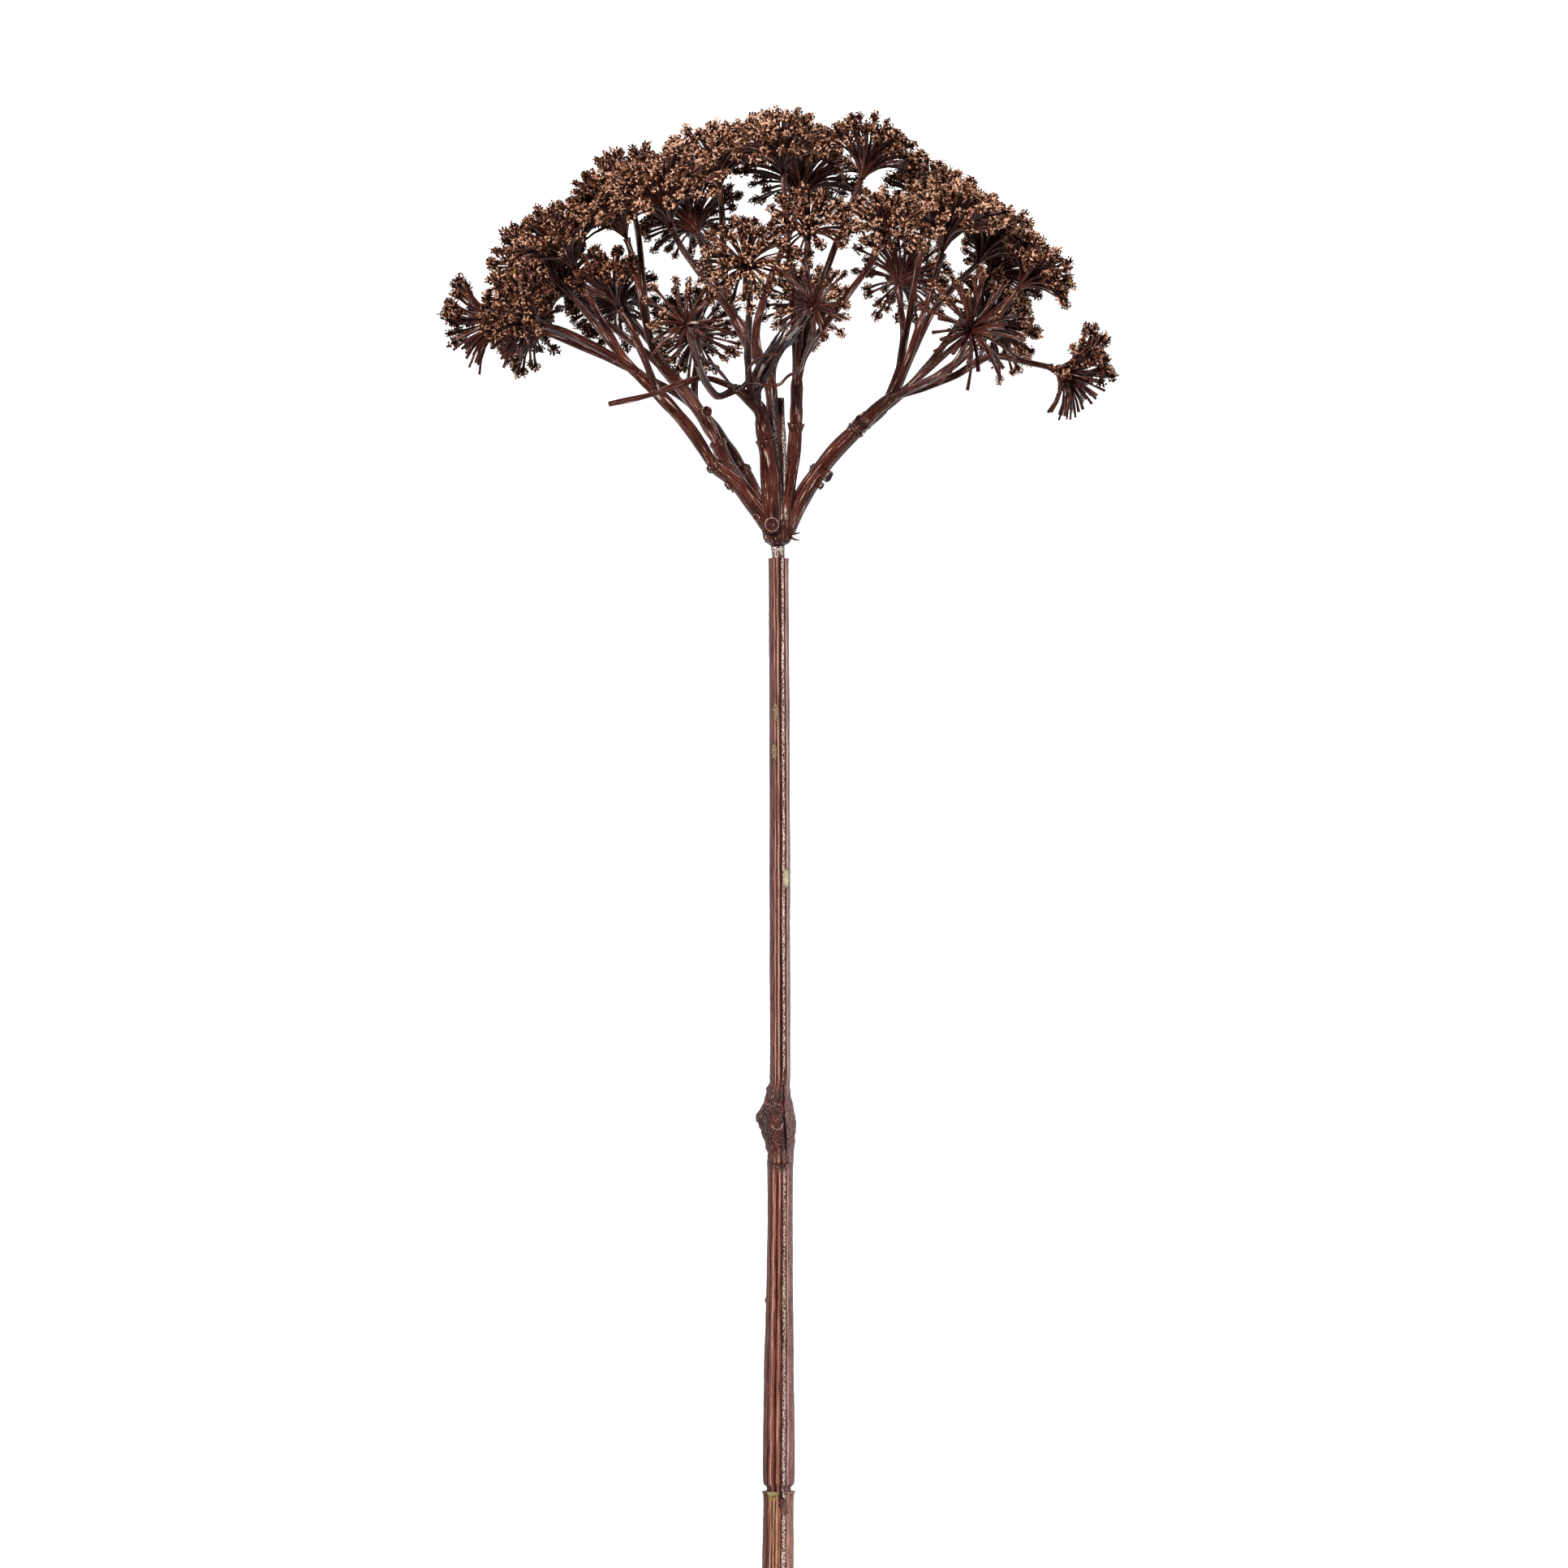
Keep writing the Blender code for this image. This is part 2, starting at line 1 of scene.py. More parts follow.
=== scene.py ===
"""Looks of a dried Queen Anne's lace stem that lies on a pale surface, seen from above."""

import random
from dataclasses import dataclass
from math import cos, pi, radians, sin, sqrt

import bpy
import numpy as np
from mathutils import Matrix, Vector, noise


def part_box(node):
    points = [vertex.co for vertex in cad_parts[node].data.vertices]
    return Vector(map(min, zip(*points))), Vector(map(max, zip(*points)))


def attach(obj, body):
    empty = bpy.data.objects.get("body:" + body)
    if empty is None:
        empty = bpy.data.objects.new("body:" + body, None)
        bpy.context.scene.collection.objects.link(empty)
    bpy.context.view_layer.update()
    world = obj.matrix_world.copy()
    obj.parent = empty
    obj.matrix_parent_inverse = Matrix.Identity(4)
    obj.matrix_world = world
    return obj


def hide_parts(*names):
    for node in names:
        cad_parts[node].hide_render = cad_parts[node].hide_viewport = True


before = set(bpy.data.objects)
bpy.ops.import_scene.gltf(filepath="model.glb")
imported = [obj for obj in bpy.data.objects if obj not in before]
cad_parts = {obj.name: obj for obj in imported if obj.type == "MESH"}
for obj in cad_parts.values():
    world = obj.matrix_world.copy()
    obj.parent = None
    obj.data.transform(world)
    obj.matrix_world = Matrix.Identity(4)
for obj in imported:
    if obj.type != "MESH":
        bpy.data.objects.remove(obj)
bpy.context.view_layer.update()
scene = bpy.context.scene

MM = 0.001
GOLDEN_ANGLE = pi * (3.0 - sqrt(5))

# The photograph's frame, and the camera
PHOTO_SIZE = 1932
MM_PER_PIXEL = 0.28
HUB_PIXEL = (958, 655)
CAMERA_DISTANCE = 3.2
SENSOR_WIDTH = 36.0
FAR_CLIP = 20.0

# Floor, sky and lights, in metres and watts: each light's name, place, size and power
FLOOR_HALF_WIDTH = 4.0
FLOOR_DROP = 0.0002
SKY_STRENGTH = 0.2
LIGHT_TARGET = (0, 0.1, 0.08)
LIGHTS = (("key", (-0.6, 0.7, 2), 0.35, 95), ("fill", (1.2, -0.4, 1.5), 0.9, 12))

# The lying pose, as in the solids
STEM_END_Y = -480.0
STEM_END_RADIUS = 5.5
STEM_LIP_OFFSET = 0.3
TILT = radians(7.7)

# The head's solids: radii and spans of its arms, trunks and rays
NECK_RADIUS = 2.1
ARM_SPANS = 2
ARM_ROOT_RADIUS = 3.1
ARM_RADIUS = 2.4
LIP_RADIUS = 2.9
TRUNK_RADIUS = 2.3
TRUNK_END_RADIUS = 1.8
RAY_SPANS = 5
RAY_START_RADIUS = 1.35
RAY_END_RADIUS = 0.95
CUT_TWIG_RADIUS = 1.1
GAP = 0.3
SLIVER = ((2.2, 4, 3.5), (1.2, 24, 3.4), (0, 46, 3))
SLIVER_HALF_WIDTHS = (0.9, 1.3, 1.6, 1.9, 2.1, 2.1, 1.3)

# Points along each arm of the hub, and onwards along the trunk that stands on it
ARMS = {
    "left": ((-2, 1, 2), (-8, 9, 5), (-14.3, 17, 7), (-22.4, 23.2, 9)),
    "left_inner": ((-13, 15, 6), (-17.8, 23, 3), (-20.7, 30.8, 0)),
    "centre": ((-2, 0, 3), (-2.4, 15.4, 7), (-3, 24, 9), (-4.2, 31.4, 10)),
    "right_centre": ((2, 0, 2), (4.2, 15.4, 4), (5.6, 26.6, 6), (6.4, 37, 8)),
    "right": ((3, 0, 0), (9, 12.6, 1), (14.6, 21, 3), (20.2, 28, 5), (27.2, 35, 7)),
    "crown": ((0, 0, -3), (-1, 15, -7), (-1.5, 30, -9)),
    "back_left": ((-2, 0, -3), (-7, 12, -12), (-12, 22, -20)),
    "back_right": ((2, 0, -3), (8, 12, -12), (14, 22, -20)),
}

TRUNKS = {
    "left": ((-30.2, 35, 13), (-40.6, 46.5, 16), (-48.4, 54, 18)),
    "left_inner": ((-26, 40, -4), (-33.6, 50.4, -8), (-40, 57.4, -12)),
    "centre": ((-5.2, 37, 12), (-6.4, 42, 14), (-14, 48.7, 18)),
    "right_centre": ((6.6, 45, 9), (6.7, 51.8, 10)),
    "right": ((34.2, 42, 9), (39.8, 46.2, 10)),
    "crown": ((-2.2, 49, -11), (-6.4, 60.2, -12), (-14.8, 74.2, -14)),
    "back_left": ((-20, 34, -32), (-28, 44, -42)),
    "back_right": ((24, 33, -31), (37, 44, -40)),
}

# Umbellets of each spray, as (fork on the trunk, base, facing, reach, spread in degrees, bare tips);
# fork 0 is the arm's rim
UMBELLETS = {
    "left": (
        (3, (-92, 74, -8), (-0.93, 0.1, -0.1), 25, 50, 4),
        (3, (-80, 70, 24), (-0.85, 0, 0.45), 23, 66, 2),
        (3, (-76, 87, -22), (-0.75, 0.65, -0.15), 26, 66, 0),
        (3, (-69.5, 90, 4), (-0.45, 0.88, 0.15), 26, 62, 0),
        (2, (-54, 75, 34), (-0.35, 0.8, 0.45), 22, 42, 1),
    ),
    "left_inner": (
        (3, (-52, 101, 2), (-0.4, 0.9, 0.1), 26, 64, 0),
        (3, (-50, 112, -34), (-0.3, 0.95, -0.2), 24, 66, 0),
        (3, (-72, 84, -50), (-0.6, 0.6, -0.5), 22, 72, 0),
    ),
    "centre": (
        (3, (-30.2, 67.2, 72), (-0.25, 0.3, 0.9), 19, 86, 4),
        (2, (-10, 86.8, 60), (-0.2, 0.5, 0.85), 19, 78, 0),
        (2, (11.8, 73.4, 76), (0.15, 0.3, 0.95), 18, 86, 3),
    ),
    "right_centre": (
        (2, (10.4, 99, 44), (0.05, 0.65, 0.75), 18, 72, 0),
        (2, (35.6, 98, 38), (0.15, 0.75, 0.6), 19, 70, 0),
        (2, (2, 123, 8), (0, 0.98, 0.15), 24, 68, 0),
        (2, (28.6, 121, 0), (0.35, 0.93, 0), 24, 58, 0),
    ),
    "right": (
        (2, (56.6, 95, 20), (0.05, 0.97, 0.2), 27, 66, 0),
        (2, (69.2, 93, -14), (0.45, 0.87, -0.1), 25, 62, 0),
        (2, (82, 83, 8), (0.75, 0.65, 0.1), 21, 60, 0),
        (2, (64.1, 66.4, 56), (0.35, 0.15, 0.92), 25, 84, 5),
        (2, (94.4, 56, 12), (0.85, -0.35, 0.2), 22, 70, 5),
    ),
    "crown": (
        (3, (-20, 120, -24), (-0.15, 0.97, -0.15), 25, 68, 0),
        (3, (-36.5, 104, 18), (-0.3, 0.93, 0.25), 28, 62, 0),
        (2, (8, 118, -48), (0.1, 0.85, -0.5), 24, 74, 0),
        (3, (-28, 106, -60), (-0.3, 0.75, -0.55), 22, 74, 0),
        (1, (10, 80, -64), (0.1, 0.35, -0.9), 18, 76, 0),
    ),
    "back_left": (
        (2, (-80, 70, -34), (-0.85, 0.3, -0.4), 20, 74, 0),
        (2, (-54, 80, -62), (-0.45, 0.5, -0.7), 20, 76, 0),
        (2, (-28, 70, -64), (-0.2, 0.3, -0.9), 19, 78, 0),
    ),
    "back_right": (
        (2, (70, 72, -44), (0.75, 0.4, -0.5), 22, 76, 0),
        (2, (42, 88, -67), (0.35, 0.55, -0.75), 21, 76, 0),
        (2, (52, 110, -32), (0.25, 0.93, -0.2), 22, 66, 0),
        (2, (74, 90, -46), (0.6, 0.6, -0.45), 20, 72, 0),
    ),
}

# Rays that bend on their way, as the points between the fork and the umbellet's base
BENT_RAYS = {
    ("centre", 0): ((-20.4, 45.6, 27), (-25.5, 51.8, 42), (-28, 60.2, 58)),
    ("right", 0): ((45.4, 60.2, 12), (49, 71.4, 14), (53.8, 85.4, 18)),
    ("right", 1): ((47, 62, 6), (53, 75, -1), (62, 86, -9)),
    ("right", 2): ((51, 51.2, 15), (62.2, 58, 13), (74, 71, 10)),
    ("right", 3): ((50, 50, 24), (58, 54.5, 38), (62.5, 59, 48)),
    ("right", 4): ((51, 49.5, 8), (62.2, 54, 8), (73.4, 60, 11), (86, 57.8, 13)),
    ("back_right", 1): ((42, 56, -50), (44, 73, -61)),
    ("back_right", 2): ((43, 60, -38), (48, 88, -34)),
}

CUT_TWIG = ((-14, 48.7, 18), (-24.6, 51.8, 26), (-33, 49.6, 30), (-44.2, 45.6, 32), (-57.7, 42.6, 33))

# Thin tendrils at the fork of the centre trunk, and the ragged bark fibres round one of its rays
TENDRILS = (
    ((-14, 47.6, 25), (-10.6, 50.4, 31), (-10.1, 53.8, 36), (-7.6, 57.1, 43), (-4.4, 58.6, 47),
     (0.4, 59, 48.5)),
    ((-27, 58, 54), (-21.8, 55.2, 50), (-18.2, 51.8, 38), (-14.6, 47.9, 27)),
    ((-13.4, 47.9, 26), (-7.8, 50.1, 28), (-3.9, 49.3, 27), (0.6, 49.6, 28), (3.9, 52.4, 33), (7.6, 54, 40),
     (9, 58, 50), (11.8, 64.4, 62), (11.7, 71, 72)),
)
TENDRIL_RADIUS = 0.6
HUSK_RAY = 2
HUSK_FIBRES = 16
HUSK_SEED = 41

# Umbellets whose pedicels sweep another way than their ray
SWEPT = {
    ("left", 0): (-0.9, -0.2, -0.1),
    ("left", 1): (-0.85, 0.25, 0.45),
}

# Each arm's radius at the hub and at its rim, where it is not the usual one
ARM_RADII = {"centre": (3.5, 3), "left": (3.2, 2.7), "right": (3.1, 2.6), "right_centre": (1.9, 2.4)}

# The hub above its neck, as (height, radius, sideways offset of the centre)
BULGE = ((-6.6, 2, 0.1), (-5, 2.3, 0), (-3.8, 4.2, 0), (-2, 5.1, 0), (1, 5.2, 0), (4, 4.6, 0),
         (8, 2.6, 0))

# Rings of an arm's torn rim and of the right trunk's collar, as (offset, share of the radius, tone)
RIM = ((-3.2, 0.6, 0.4), (-2.4, 0.86, 0.4), (-1.3, 0.94, 0.3), (-0.4, 1.07, 0.4), (0, 1.04, 0.95),
       (-0.15, 0.8, 0.3), (-1.2, 0.68, 0.1), (-3, 0.64, 0.1))
COLLAR = ((-0.2, 0.9, 0.1), (0.4, 1.28, 0.9), (1.6, 1.2, 0.16), (2.8, 1.34, 0.1), (4.2, 1.16, 0.16),
          (5.6, 1.1, 0.3), (6.6, 0.85, 0.3))

# Rings of a cut side twig, as (share of its length, further offset, share of its radius, tone)
CUT_RINGS = ((0, -1.5, 1.2, 0.4), (0.3, 0, 1.05, 0.4), (0.75, 0, 1, 0.4), (1, 0, 1.08, 0.93),
             (1, 0.15, 1, 0.93), (1, -0.1, 0.74, 0.2), (1, -0.45, 0.5, 0.1))

# Scars of cut side twigs on the hub and on sprays, as (place, direction, radius, length)
SCARS = {"hub": (
    ((-1.7, 2, 4.4), (-0.05, 0.05, 1), 2.3, 3.9),
    ((12.4, 17.4, 2.4), (0.8, -0.55, 0.35), 1.3, 3.7),
    ((14.6, 20.8, 3), (0.75, -0.5, 0.45), 2.1, 4.2),
    ((-14.8, 17.4, 7), (-0.75, -0.6, 0.3), 1.5, 3.5),
    ((-21, 22.4, 8.6), (-0.8, -0.45, 0.4), 1.4, 3.2),
    ((-5.6, 6.4, 4), (-0.5, -0.5, 0.7), 1.2, 3.4),
), "left_inner": (
    ((-25.6, 41.2, -3.4), (0.5, 0.1, 0.9), 1.9, 2.6),
), "right": (
    ((50.6, 76.5, 15.2), (-0.9, 0.5, 0.3), 1, 3.4),
    ((52.6, 81.6, 16.8), (-0.85, 0.4, 0.4), 0.9, 3.4),
)}

# Torn thorns on the bulge, as (root, tip)
THORNS = (
    ((4.2, -1.6, 2), (7.8, -3, 3)),
    ((4.4, -0.8, 2.4), (8, -0.4, 3.6)),
    ((4, 0.4, 3), (6.6, 1.4, 4.4)),
    ((-4.2, 8, 4), (-6.2, 9.8, 5.4)),
)
THORN_RADIUS = 0.7

# Fine make-up of the twigs and florets
BARK_SIDES = 12
RAY_SIDES = 9
PEDICEL_SIDES = 5
PEDICEL_SPANS = 5
PEDICEL_RADIUS = 0.5
TUFT_SPACING = 25
TUFT_RADIUS = 2.2
TUFT_VARIANTS = 10
PETALS = 26
DICE_SEED = 11
SPRAY_SHADES = {"left": -0.07, "left_inner": -0.04, "crown": 0.04, "right": 0.02}

# Umbellets that spread wider than this are open stars. Each kind as (share left open in the middle,
# share of the pedicels, share of the bare tips, shortest length, thickness, size of the tufts)
STAR_SPREAD = 80
USUAL = (0, 1, 1, 0.82, 1, 1)
STAR = (0.15, 0.3, 1.25, 0.52, 1.3, 0.85)

# How finely the stalk is divided, the scales across and along of its surface's noises, the angle of
# the crack in its node, and the node's radius there
STEM_SIDES = 120
STEM_STEP = 0.8
SURFACE_NOISES = ((0.9, 0.07), (0.55, 0.5), (1.6, 1.3))
SPLIT_PLACE = 0.45
KNOT_RADIUS = 6.2
WOOD_ZONES = (0, 0.14, 0.4, 0.58, 0.72, 1)

# Colours of the patches on the stalk
OLIVE = (0.22, 0.17, 0.085)
PALE = (0.52, 0.48, 0.3)
LIME = (0.33, 0.3, 0.13)
TAN = (0.25, 0.15, 0.06)
MAUVE = (0.13, 0.055, 0.05)
ORANGE = (0.42, 0.22, 0.13)


@dataclass
class Stalk:
    """One piece of the stalk: angles from its front, rightwards, heights in mm, rows of the photograph."""

    node: str
    profile: tuple  # (height, radius, sideways offset of the centre)
    plug: float  # radius of the plug at its foot
    socket: float  # radius of its hollow top
    colours: tuple  # from its left edge over the front to its right edge
    ribs: tuple  # (angle, half width, height)
    grooves: tuple  # (angle, half width, depth)
    seams: tuple  # (angle, half width, strength) of its flecked seam
    bumps: tuple = ()  # (row, angle, size, spread)
    patches: tuple = ()  # (angle, row, half width, half length, colour, strength of the outline)
    ochres: tuple = ()  # (row where it has faded, row where it is full, strength)
    lumps: tuple = ()  # (row, reach) of the lumpy stretch
    crusts: tuple = ()  # (row, reach) of the dark crust
    scars: tuple = ()  # (angle, row, radius) of the ring
    cracks: tuple = ()  # (top row, bottom row, angle)


STALKS = {
    "stalk_with_node": Stalk(
        node="stem_upper", plug=3.0, socket=NECK_RADIUS + GAP,
        profile=((-217.75, 4.5, 1), (-214.2, 4.65, 1), (-208.6, 5.5, 0.5), (-202, 6.2, -0.2),
                 (-192, 3.8, 0.5), (-186, 3.6, 0.9), (-150, 3.6, 0.85), (-110, 3.6, 0.8),
                 (-68, 3.55, 0.7), (-25, 3.5, 0.45), (-12, 3.5, 0.35), (-9.2, 3.6, 0.35)),
        colours=((0.04, 0.016, 0.014), (0.1, 0.036, 0.03), (0.16, 0.055, 0.04),
                 (0.2, 0.07, 0.048), (0.25, 0.12, 0.1), (0.24, 0.135, 0.125)),
        ribs=((-0.46, 0.05, 0.015), (-0.13, 0.08, 0.045), (0.82, 0.1, 0.02)),
        grooves=((-0.28, 0.04, 0.02), (0.13, 0.12, 0.07), (0.6, 0.07, 0.04)),
        seams=((0.38, 0.15, 0.85),),
        bumps=((1377, -1.5, 0.2, 2), (1341, -1.45, 0.2, 1.1), (1398, -1.4, 0.08, 0.9),
               (1392, 1.5, 0.04, 5), (1362, -0.7, 0.07, 1.8), (1383, 0.02, 0.05, 1.6)),
        patches=((-0.42, 877, 0.28, 3, OLIVE, 0.4), (-0.56, 926, 0.28, 2.8, OLIVE, 0.5),
                 (0.68, 1082, 0.36, 3, PALE, 0.4)),
        lumps=((1380, 11),), crusts=((1382, 17),), scars=((0, 1384, 1.9),),
        cracks=((1318, 1440, SPLIT_PLACE),),
    ),
    "stalk_between_joints": Stalk(
        node="stem_middle", plug=4.2, socket=3.3,
        profile=((-329.4, 4.4, 0.4), (-327.6, 5.4, 0.4), (-315, 5.5, 0.4), (-290, 5.2, 0.5),
                 (-252, 4.5, 0.8), (-222, 4.4, 0.9), (-217.9, 4.6, 0.9)),
        colours=((0.05, 0.018, 0.015), (0.12, 0.038, 0.026), (0.19, 0.058, 0.038),
                 (0.2, 0.065, 0.045), (0.22, 0.085, 0.068), (0.19, 0.09, 0.085)),
        ribs=((-0.5, 0.055, 0.025), (-0.05, 0.045, 0.035), (0.64, 0.055, 0.025)),
        grooves=((-0.78, 0.05, 0.02), (-0.24, 0.06, 0.03), (0.18, 0.08, 0.05), (0.51, 0.05, 0.04)),
        seams=((0.36, 0.18, 0.6),),
        bumps=((1602, -1.5, 0.12, 0.7),),
        crusts=((1424, 7),),
    ),
    "stalk_foot": Stalk(
        node="stem_lower", plug=0.0, socket=4.6,
        profile=((STEM_END_Y, STEM_END_RADIUS, 0), (-440, 5.5, 0), (-400, 5.45, 0),
                 (-357.6, 5.45, 0.1), (-334, 5.3, 0.3), (-331, 5.9, 0.3)),
        colours=((0.05, 0.017, 0.012), (0.11, 0.03, 0.016), (0.22, 0.068, 0.034),
                 (0.28, 0.1, 0.052), (0.35, 0.15, 0.098), (0.26, 0.12, 0.09)),
        ribs=((-0.5, 0.045, 0.025), (-0.3, 0.03, 0.015), (-0.08, 0.04, 0.03), (0.66, 0.055, 0.025)),
        grooves=((-0.78, 0.05, 0.02), (-0.4, 0.025, 0.015), (-0.19, 0.025, 0.015), (0.2, 0.06, 0.05),
                 (0.52, 0.05, 0.04)),
        seams=((0.38, 0.2, 0.95),),
        bumps=((1853, 0.36, 0.08, 1.7), (1866, 0.42, 0.05, 1.2)),
        patches=((-0.42, 1845, 0.36, 1.3, TAN, 0), (-0.42, 1838.5, 0.44, 0.95, LIME, 0.4),
                 (0.24, 1851, 0.16, 1.5, MAUVE, 0.97), (0.4, 1858, 0.2, 2.6, MAUVE, 0.6),
                 (0.5, 1834, 0.5, 0.5, ORANGE, 0)),
        ochres=((1990, 1850, 0.6),), cracks=((1832, 1850, 0.14),),
    ),
}


def pixel_height(row):
    return (HUB_PIXEL[1] - row) * MM_PER_PIXEL


def lay(point):
    """Growth frame to lying frame, in millimetres."""
    x, y, z = point
    sine, cosine = sin(TILT), cos(TILT)
    lift = -STEM_END_Y * sine + STEM_END_RADIUS * cosine
    return Vector((x, y * cosine - z * sine, y * sine + z * cosine + lift))


def lay_all(points):
    return [lay(p) for p in points]


def lay_direction(direction):
    return (lay(direction) - lay((0, 0, 0))).normalized()


def add_object(name, data):
    thing = bpy.data.objects.new(name, data)
    scene.collection.objects.link(thing)
    return thing


def hub_place():
    """Where the growth frame's hub stands in the frame, found from the lower stem's solid."""
    low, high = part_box("stem_lower")
    end = lay((0, STEM_END_Y, 0))
    y = low.y - (end.y - STEM_END_RADIUS * sin(TILT)) * MM
    x = (low.x + high.x) / 2 - STEM_LIP_OFFSET * MM
    return np.array((x, y, 0))


def smooth_path(points, spans):
    """A Catmull-Rom curve through the points, with this many spans between each two."""
    ends = [2 * points[0] - points[1], *points, 2 * points[-1] - points[-2]]
    path = []
    for index in range(1, len(ends) - 2):
        before, start, stop, after = ends[index - 1:index + 3]
        for step in range(spans):
            t = step / spans
            square = 2 * before - 5 * start + 4 * stop - after
            cube = 3 * start - before - 3 * stop + after
            path.append(0.5 * (2 * start + (stop - before) * t + square * t ** 2 + cube * t ** 3))
    path.append(points[-1].copy())
    return path


def arc_path(start, start_direction, stop, stop_direction, spans):
    """A smooth curve that leaves and arrives along the given directions."""
    pull = 0.6 * (stop - start).length
    path = []
    for step in range(spans + 1):
        t = step / spans
        leaving = start * (2 * t ** 3 - 3 * t ** 2 + 1) + start_direction * pull * (t ** 3 - 2 * t ** 2 + t)
        path.append(leaving + stop * (3 * t ** 2 - 2 * t ** 3) + stop_direction * pull * (t ** 3 - t ** 2))
    return path


def path_axes(path):
    last = len(path) - 1
    return [(path[min(i + 1, last)] - path[max(i - 1, 0)]).normalized() for i in range(last + 1)]


def add_lines(lines, path, radii, node, owner):
    """Remembers a path as thick straight lines, so that later ones keep clear of it."""
    for start, stop, *ends in zip(path, path[1:], radii, radii[1:]):
        lines.append((start, stop, max(ends), node, owner))


def slack(lines, start, stop, radius, node, owner):
    """The room left between a new line and the nearest one, beyond the gap it needs."""
    starts, stops, thick, nodes, owners = (np.array(column) for column in zip(*lines))
    along = stops - starts
    samples = np.linspace(start, stop, 9)[:, None]
    reach = np.maximum((along ** 2).sum(axis=1), 1e-9)
    share = np.clip(((samples - starts) * along).sum(axis=2) / reach, 0, 1)
    distance = np.linalg.norm(samples - starts - share[:, :, None] * along, axis=2).min(axis=0)
    radii = thick + radius
    needed = np.where(nodes == node, 0.6 * radii, radii + GAP + 0.3)
    needed = np.where(owners == owner, -1, needed)
    return (distance - needed).min()


def ray_route(lines, start, start_direction, base, facing, node, owner):
    """The straightest of a few routes that stays clear of the other sprays."""
    best = None
    for bow in (0, 3, 6, 9):
        for turn in range(8 if bow else 1):
            side = (base - start).orthogonal().normalized()
            side.rotate(Matrix.Rotation(turn * pi / 4, 3, (base - start).normalized()))
            path = arc_path(start, start_direction, base, facing, RAY_SPANS)
            for index, point in enumerate(path):
                point += side * bow * sin(pi * index / RAY_SPANS)
            room = min(slack(lines, path[i], path[i + 1], RAY_START_RADIUS, node, owner)
                       for i in range(1, RAY_SPANS))
            if best is None or room > best[0]:
                best = (room, path)
            if room > 0:
                return path
    return best[1]


def lay_out():
    """The same trunks and rays as in the solids, each spray as (seat, trunk, its axes, rays)."""
    lines = []
    seats = {}
    for name, points in ARMS.items():
        path = smooth_path(lay_all(points), ARM_SPANS)
        radii = np.linspace(ARM_ROOT_RADIUS, ARM_RADIUS, len(path))
        radii[-1] = LIP_RADIUS
        add_lines(lines, path, radii, "head_hub", "head_hub")
        seats[name] = (path[-1], path_axes(path)[-1])
    add_lines(lines, smooth_path(lay_all(SLIVER), 3), SLIVER_HALF_WIDTHS, "head_hub", "head_hub")
    sprays = {}
    for name, points in TRUNKS.items():
        node = "spray_" + name
        end, axis = seats[name]
        path = smooth_path([end + axis * GAP, *lay_all(points)], ARM_SPANS)
        axes = path_axes(path)
        axes[0] = axis
        radii = [TRUNK_RADIUS] * (len(path) - 1) + [TRUNK_END_RADIUS]
        add_lines(lines, path, radii, node, node)
        sprays[name] = (end, path, axes, [])
    twig = smooth_path(lay_all(CUT_TWIG), 2)
    add_lines(lines, twig, [CUT_TWIG_RADIUS] * len(twig), "spray_centre", "twig")
    for name, rows in UMBELLETS.items():
        node = "spray_" + name
        _, trunk, axes, rays = sprays[name]
        for index, (fork, base, facing, reach, spread, bare) in enumerate(rows):
            owner = f"{node}_{index}"
            start, axis = trunk[ARM_SPANS * fork], axes[ARM_SPANS * fork]
            base, facing = lay(base), lay_direction(facing)
            if (name, index) in BENT_RAYS:
                route = smooth_path([start, *lay_all(BENT_RAYS[name, index]), base], 2)
            else:
                route = ray_route(lines, start, axis, base, facing, node, owner)
            radii = np.linspace(RAY_START_RADIUS, RAY_END_RADIUS, len(route))
            add_lines(lines, route, radii, node, owner)
            rays.append((route, facing, reach, spread, bare))
    return sprays


class Bundle:
    """Gathers closed bodies into one mesh, with a vector for the grain and a tone for each point."""

    def __init__(self):
        self.bodies = []
        self.count = 0

    def add(self, points, faces, grain, tone=0.5):
        """Adds a body whose faces come as one array for each number of corners."""
        faces = [group + self.count for group in faces]
        self.bodies.append((points, faces, grain, np.broadcast_to(tone, (len(points),))))
        self.count += len(points)

    def make(self, name, material, node, smooth=True):
        points, faces, grain, tone = zip(*self.bodies)
        points = np.concatenate(points)
        points[:, 2] = np.maximum(points[:, 2], 0.02)
        points = points * MM + HUB
        groups = sorted((group for body in faces for group in body), key=lambda group: -group.shape[1])
        faces = [face for group in groups for face in group.tolist()]
        mesh = bpy.data.meshes.new(name)
        mesh.from_pydata(points.tolist(), [], faces)
        layer = mesh.attributes.new("grain", "FLOAT_VECTOR", "POINT")
        layer.data.foreach_set("vector", np.concatenate(grain).astype(np.float32).ravel())
        layer = mesh.attributes.new("tone", "FLOAT", "POINT")
        layer.data.foreach_set("value", np.concatenate(tone).astype(np.float32))
        mesh.polygons.foreach_set("use_smooth", [smooth] * len(mesh.polygons))
        mesh.materials.append(material)
        mesh.update()
        piece = add_object(name, mesh)
        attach(piece, "root")
        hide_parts(node)


def carried_frames(path):
    """Axis, across and beside vectors along a path, carried without twist, as arrays."""
    axes = path_axes(path)
    across = axes[0].orthogonal().normalized()
    rows = []
    for index, axis in enumerate(axes):
        if index:
            across = axes[index - 1].rotation_difference(axis) @ across
            across = (across - axis * across.dot(axis)).normalized()
        rows.append((axis, across.copy(), axis.cross(across)))
    return np.array(rows)


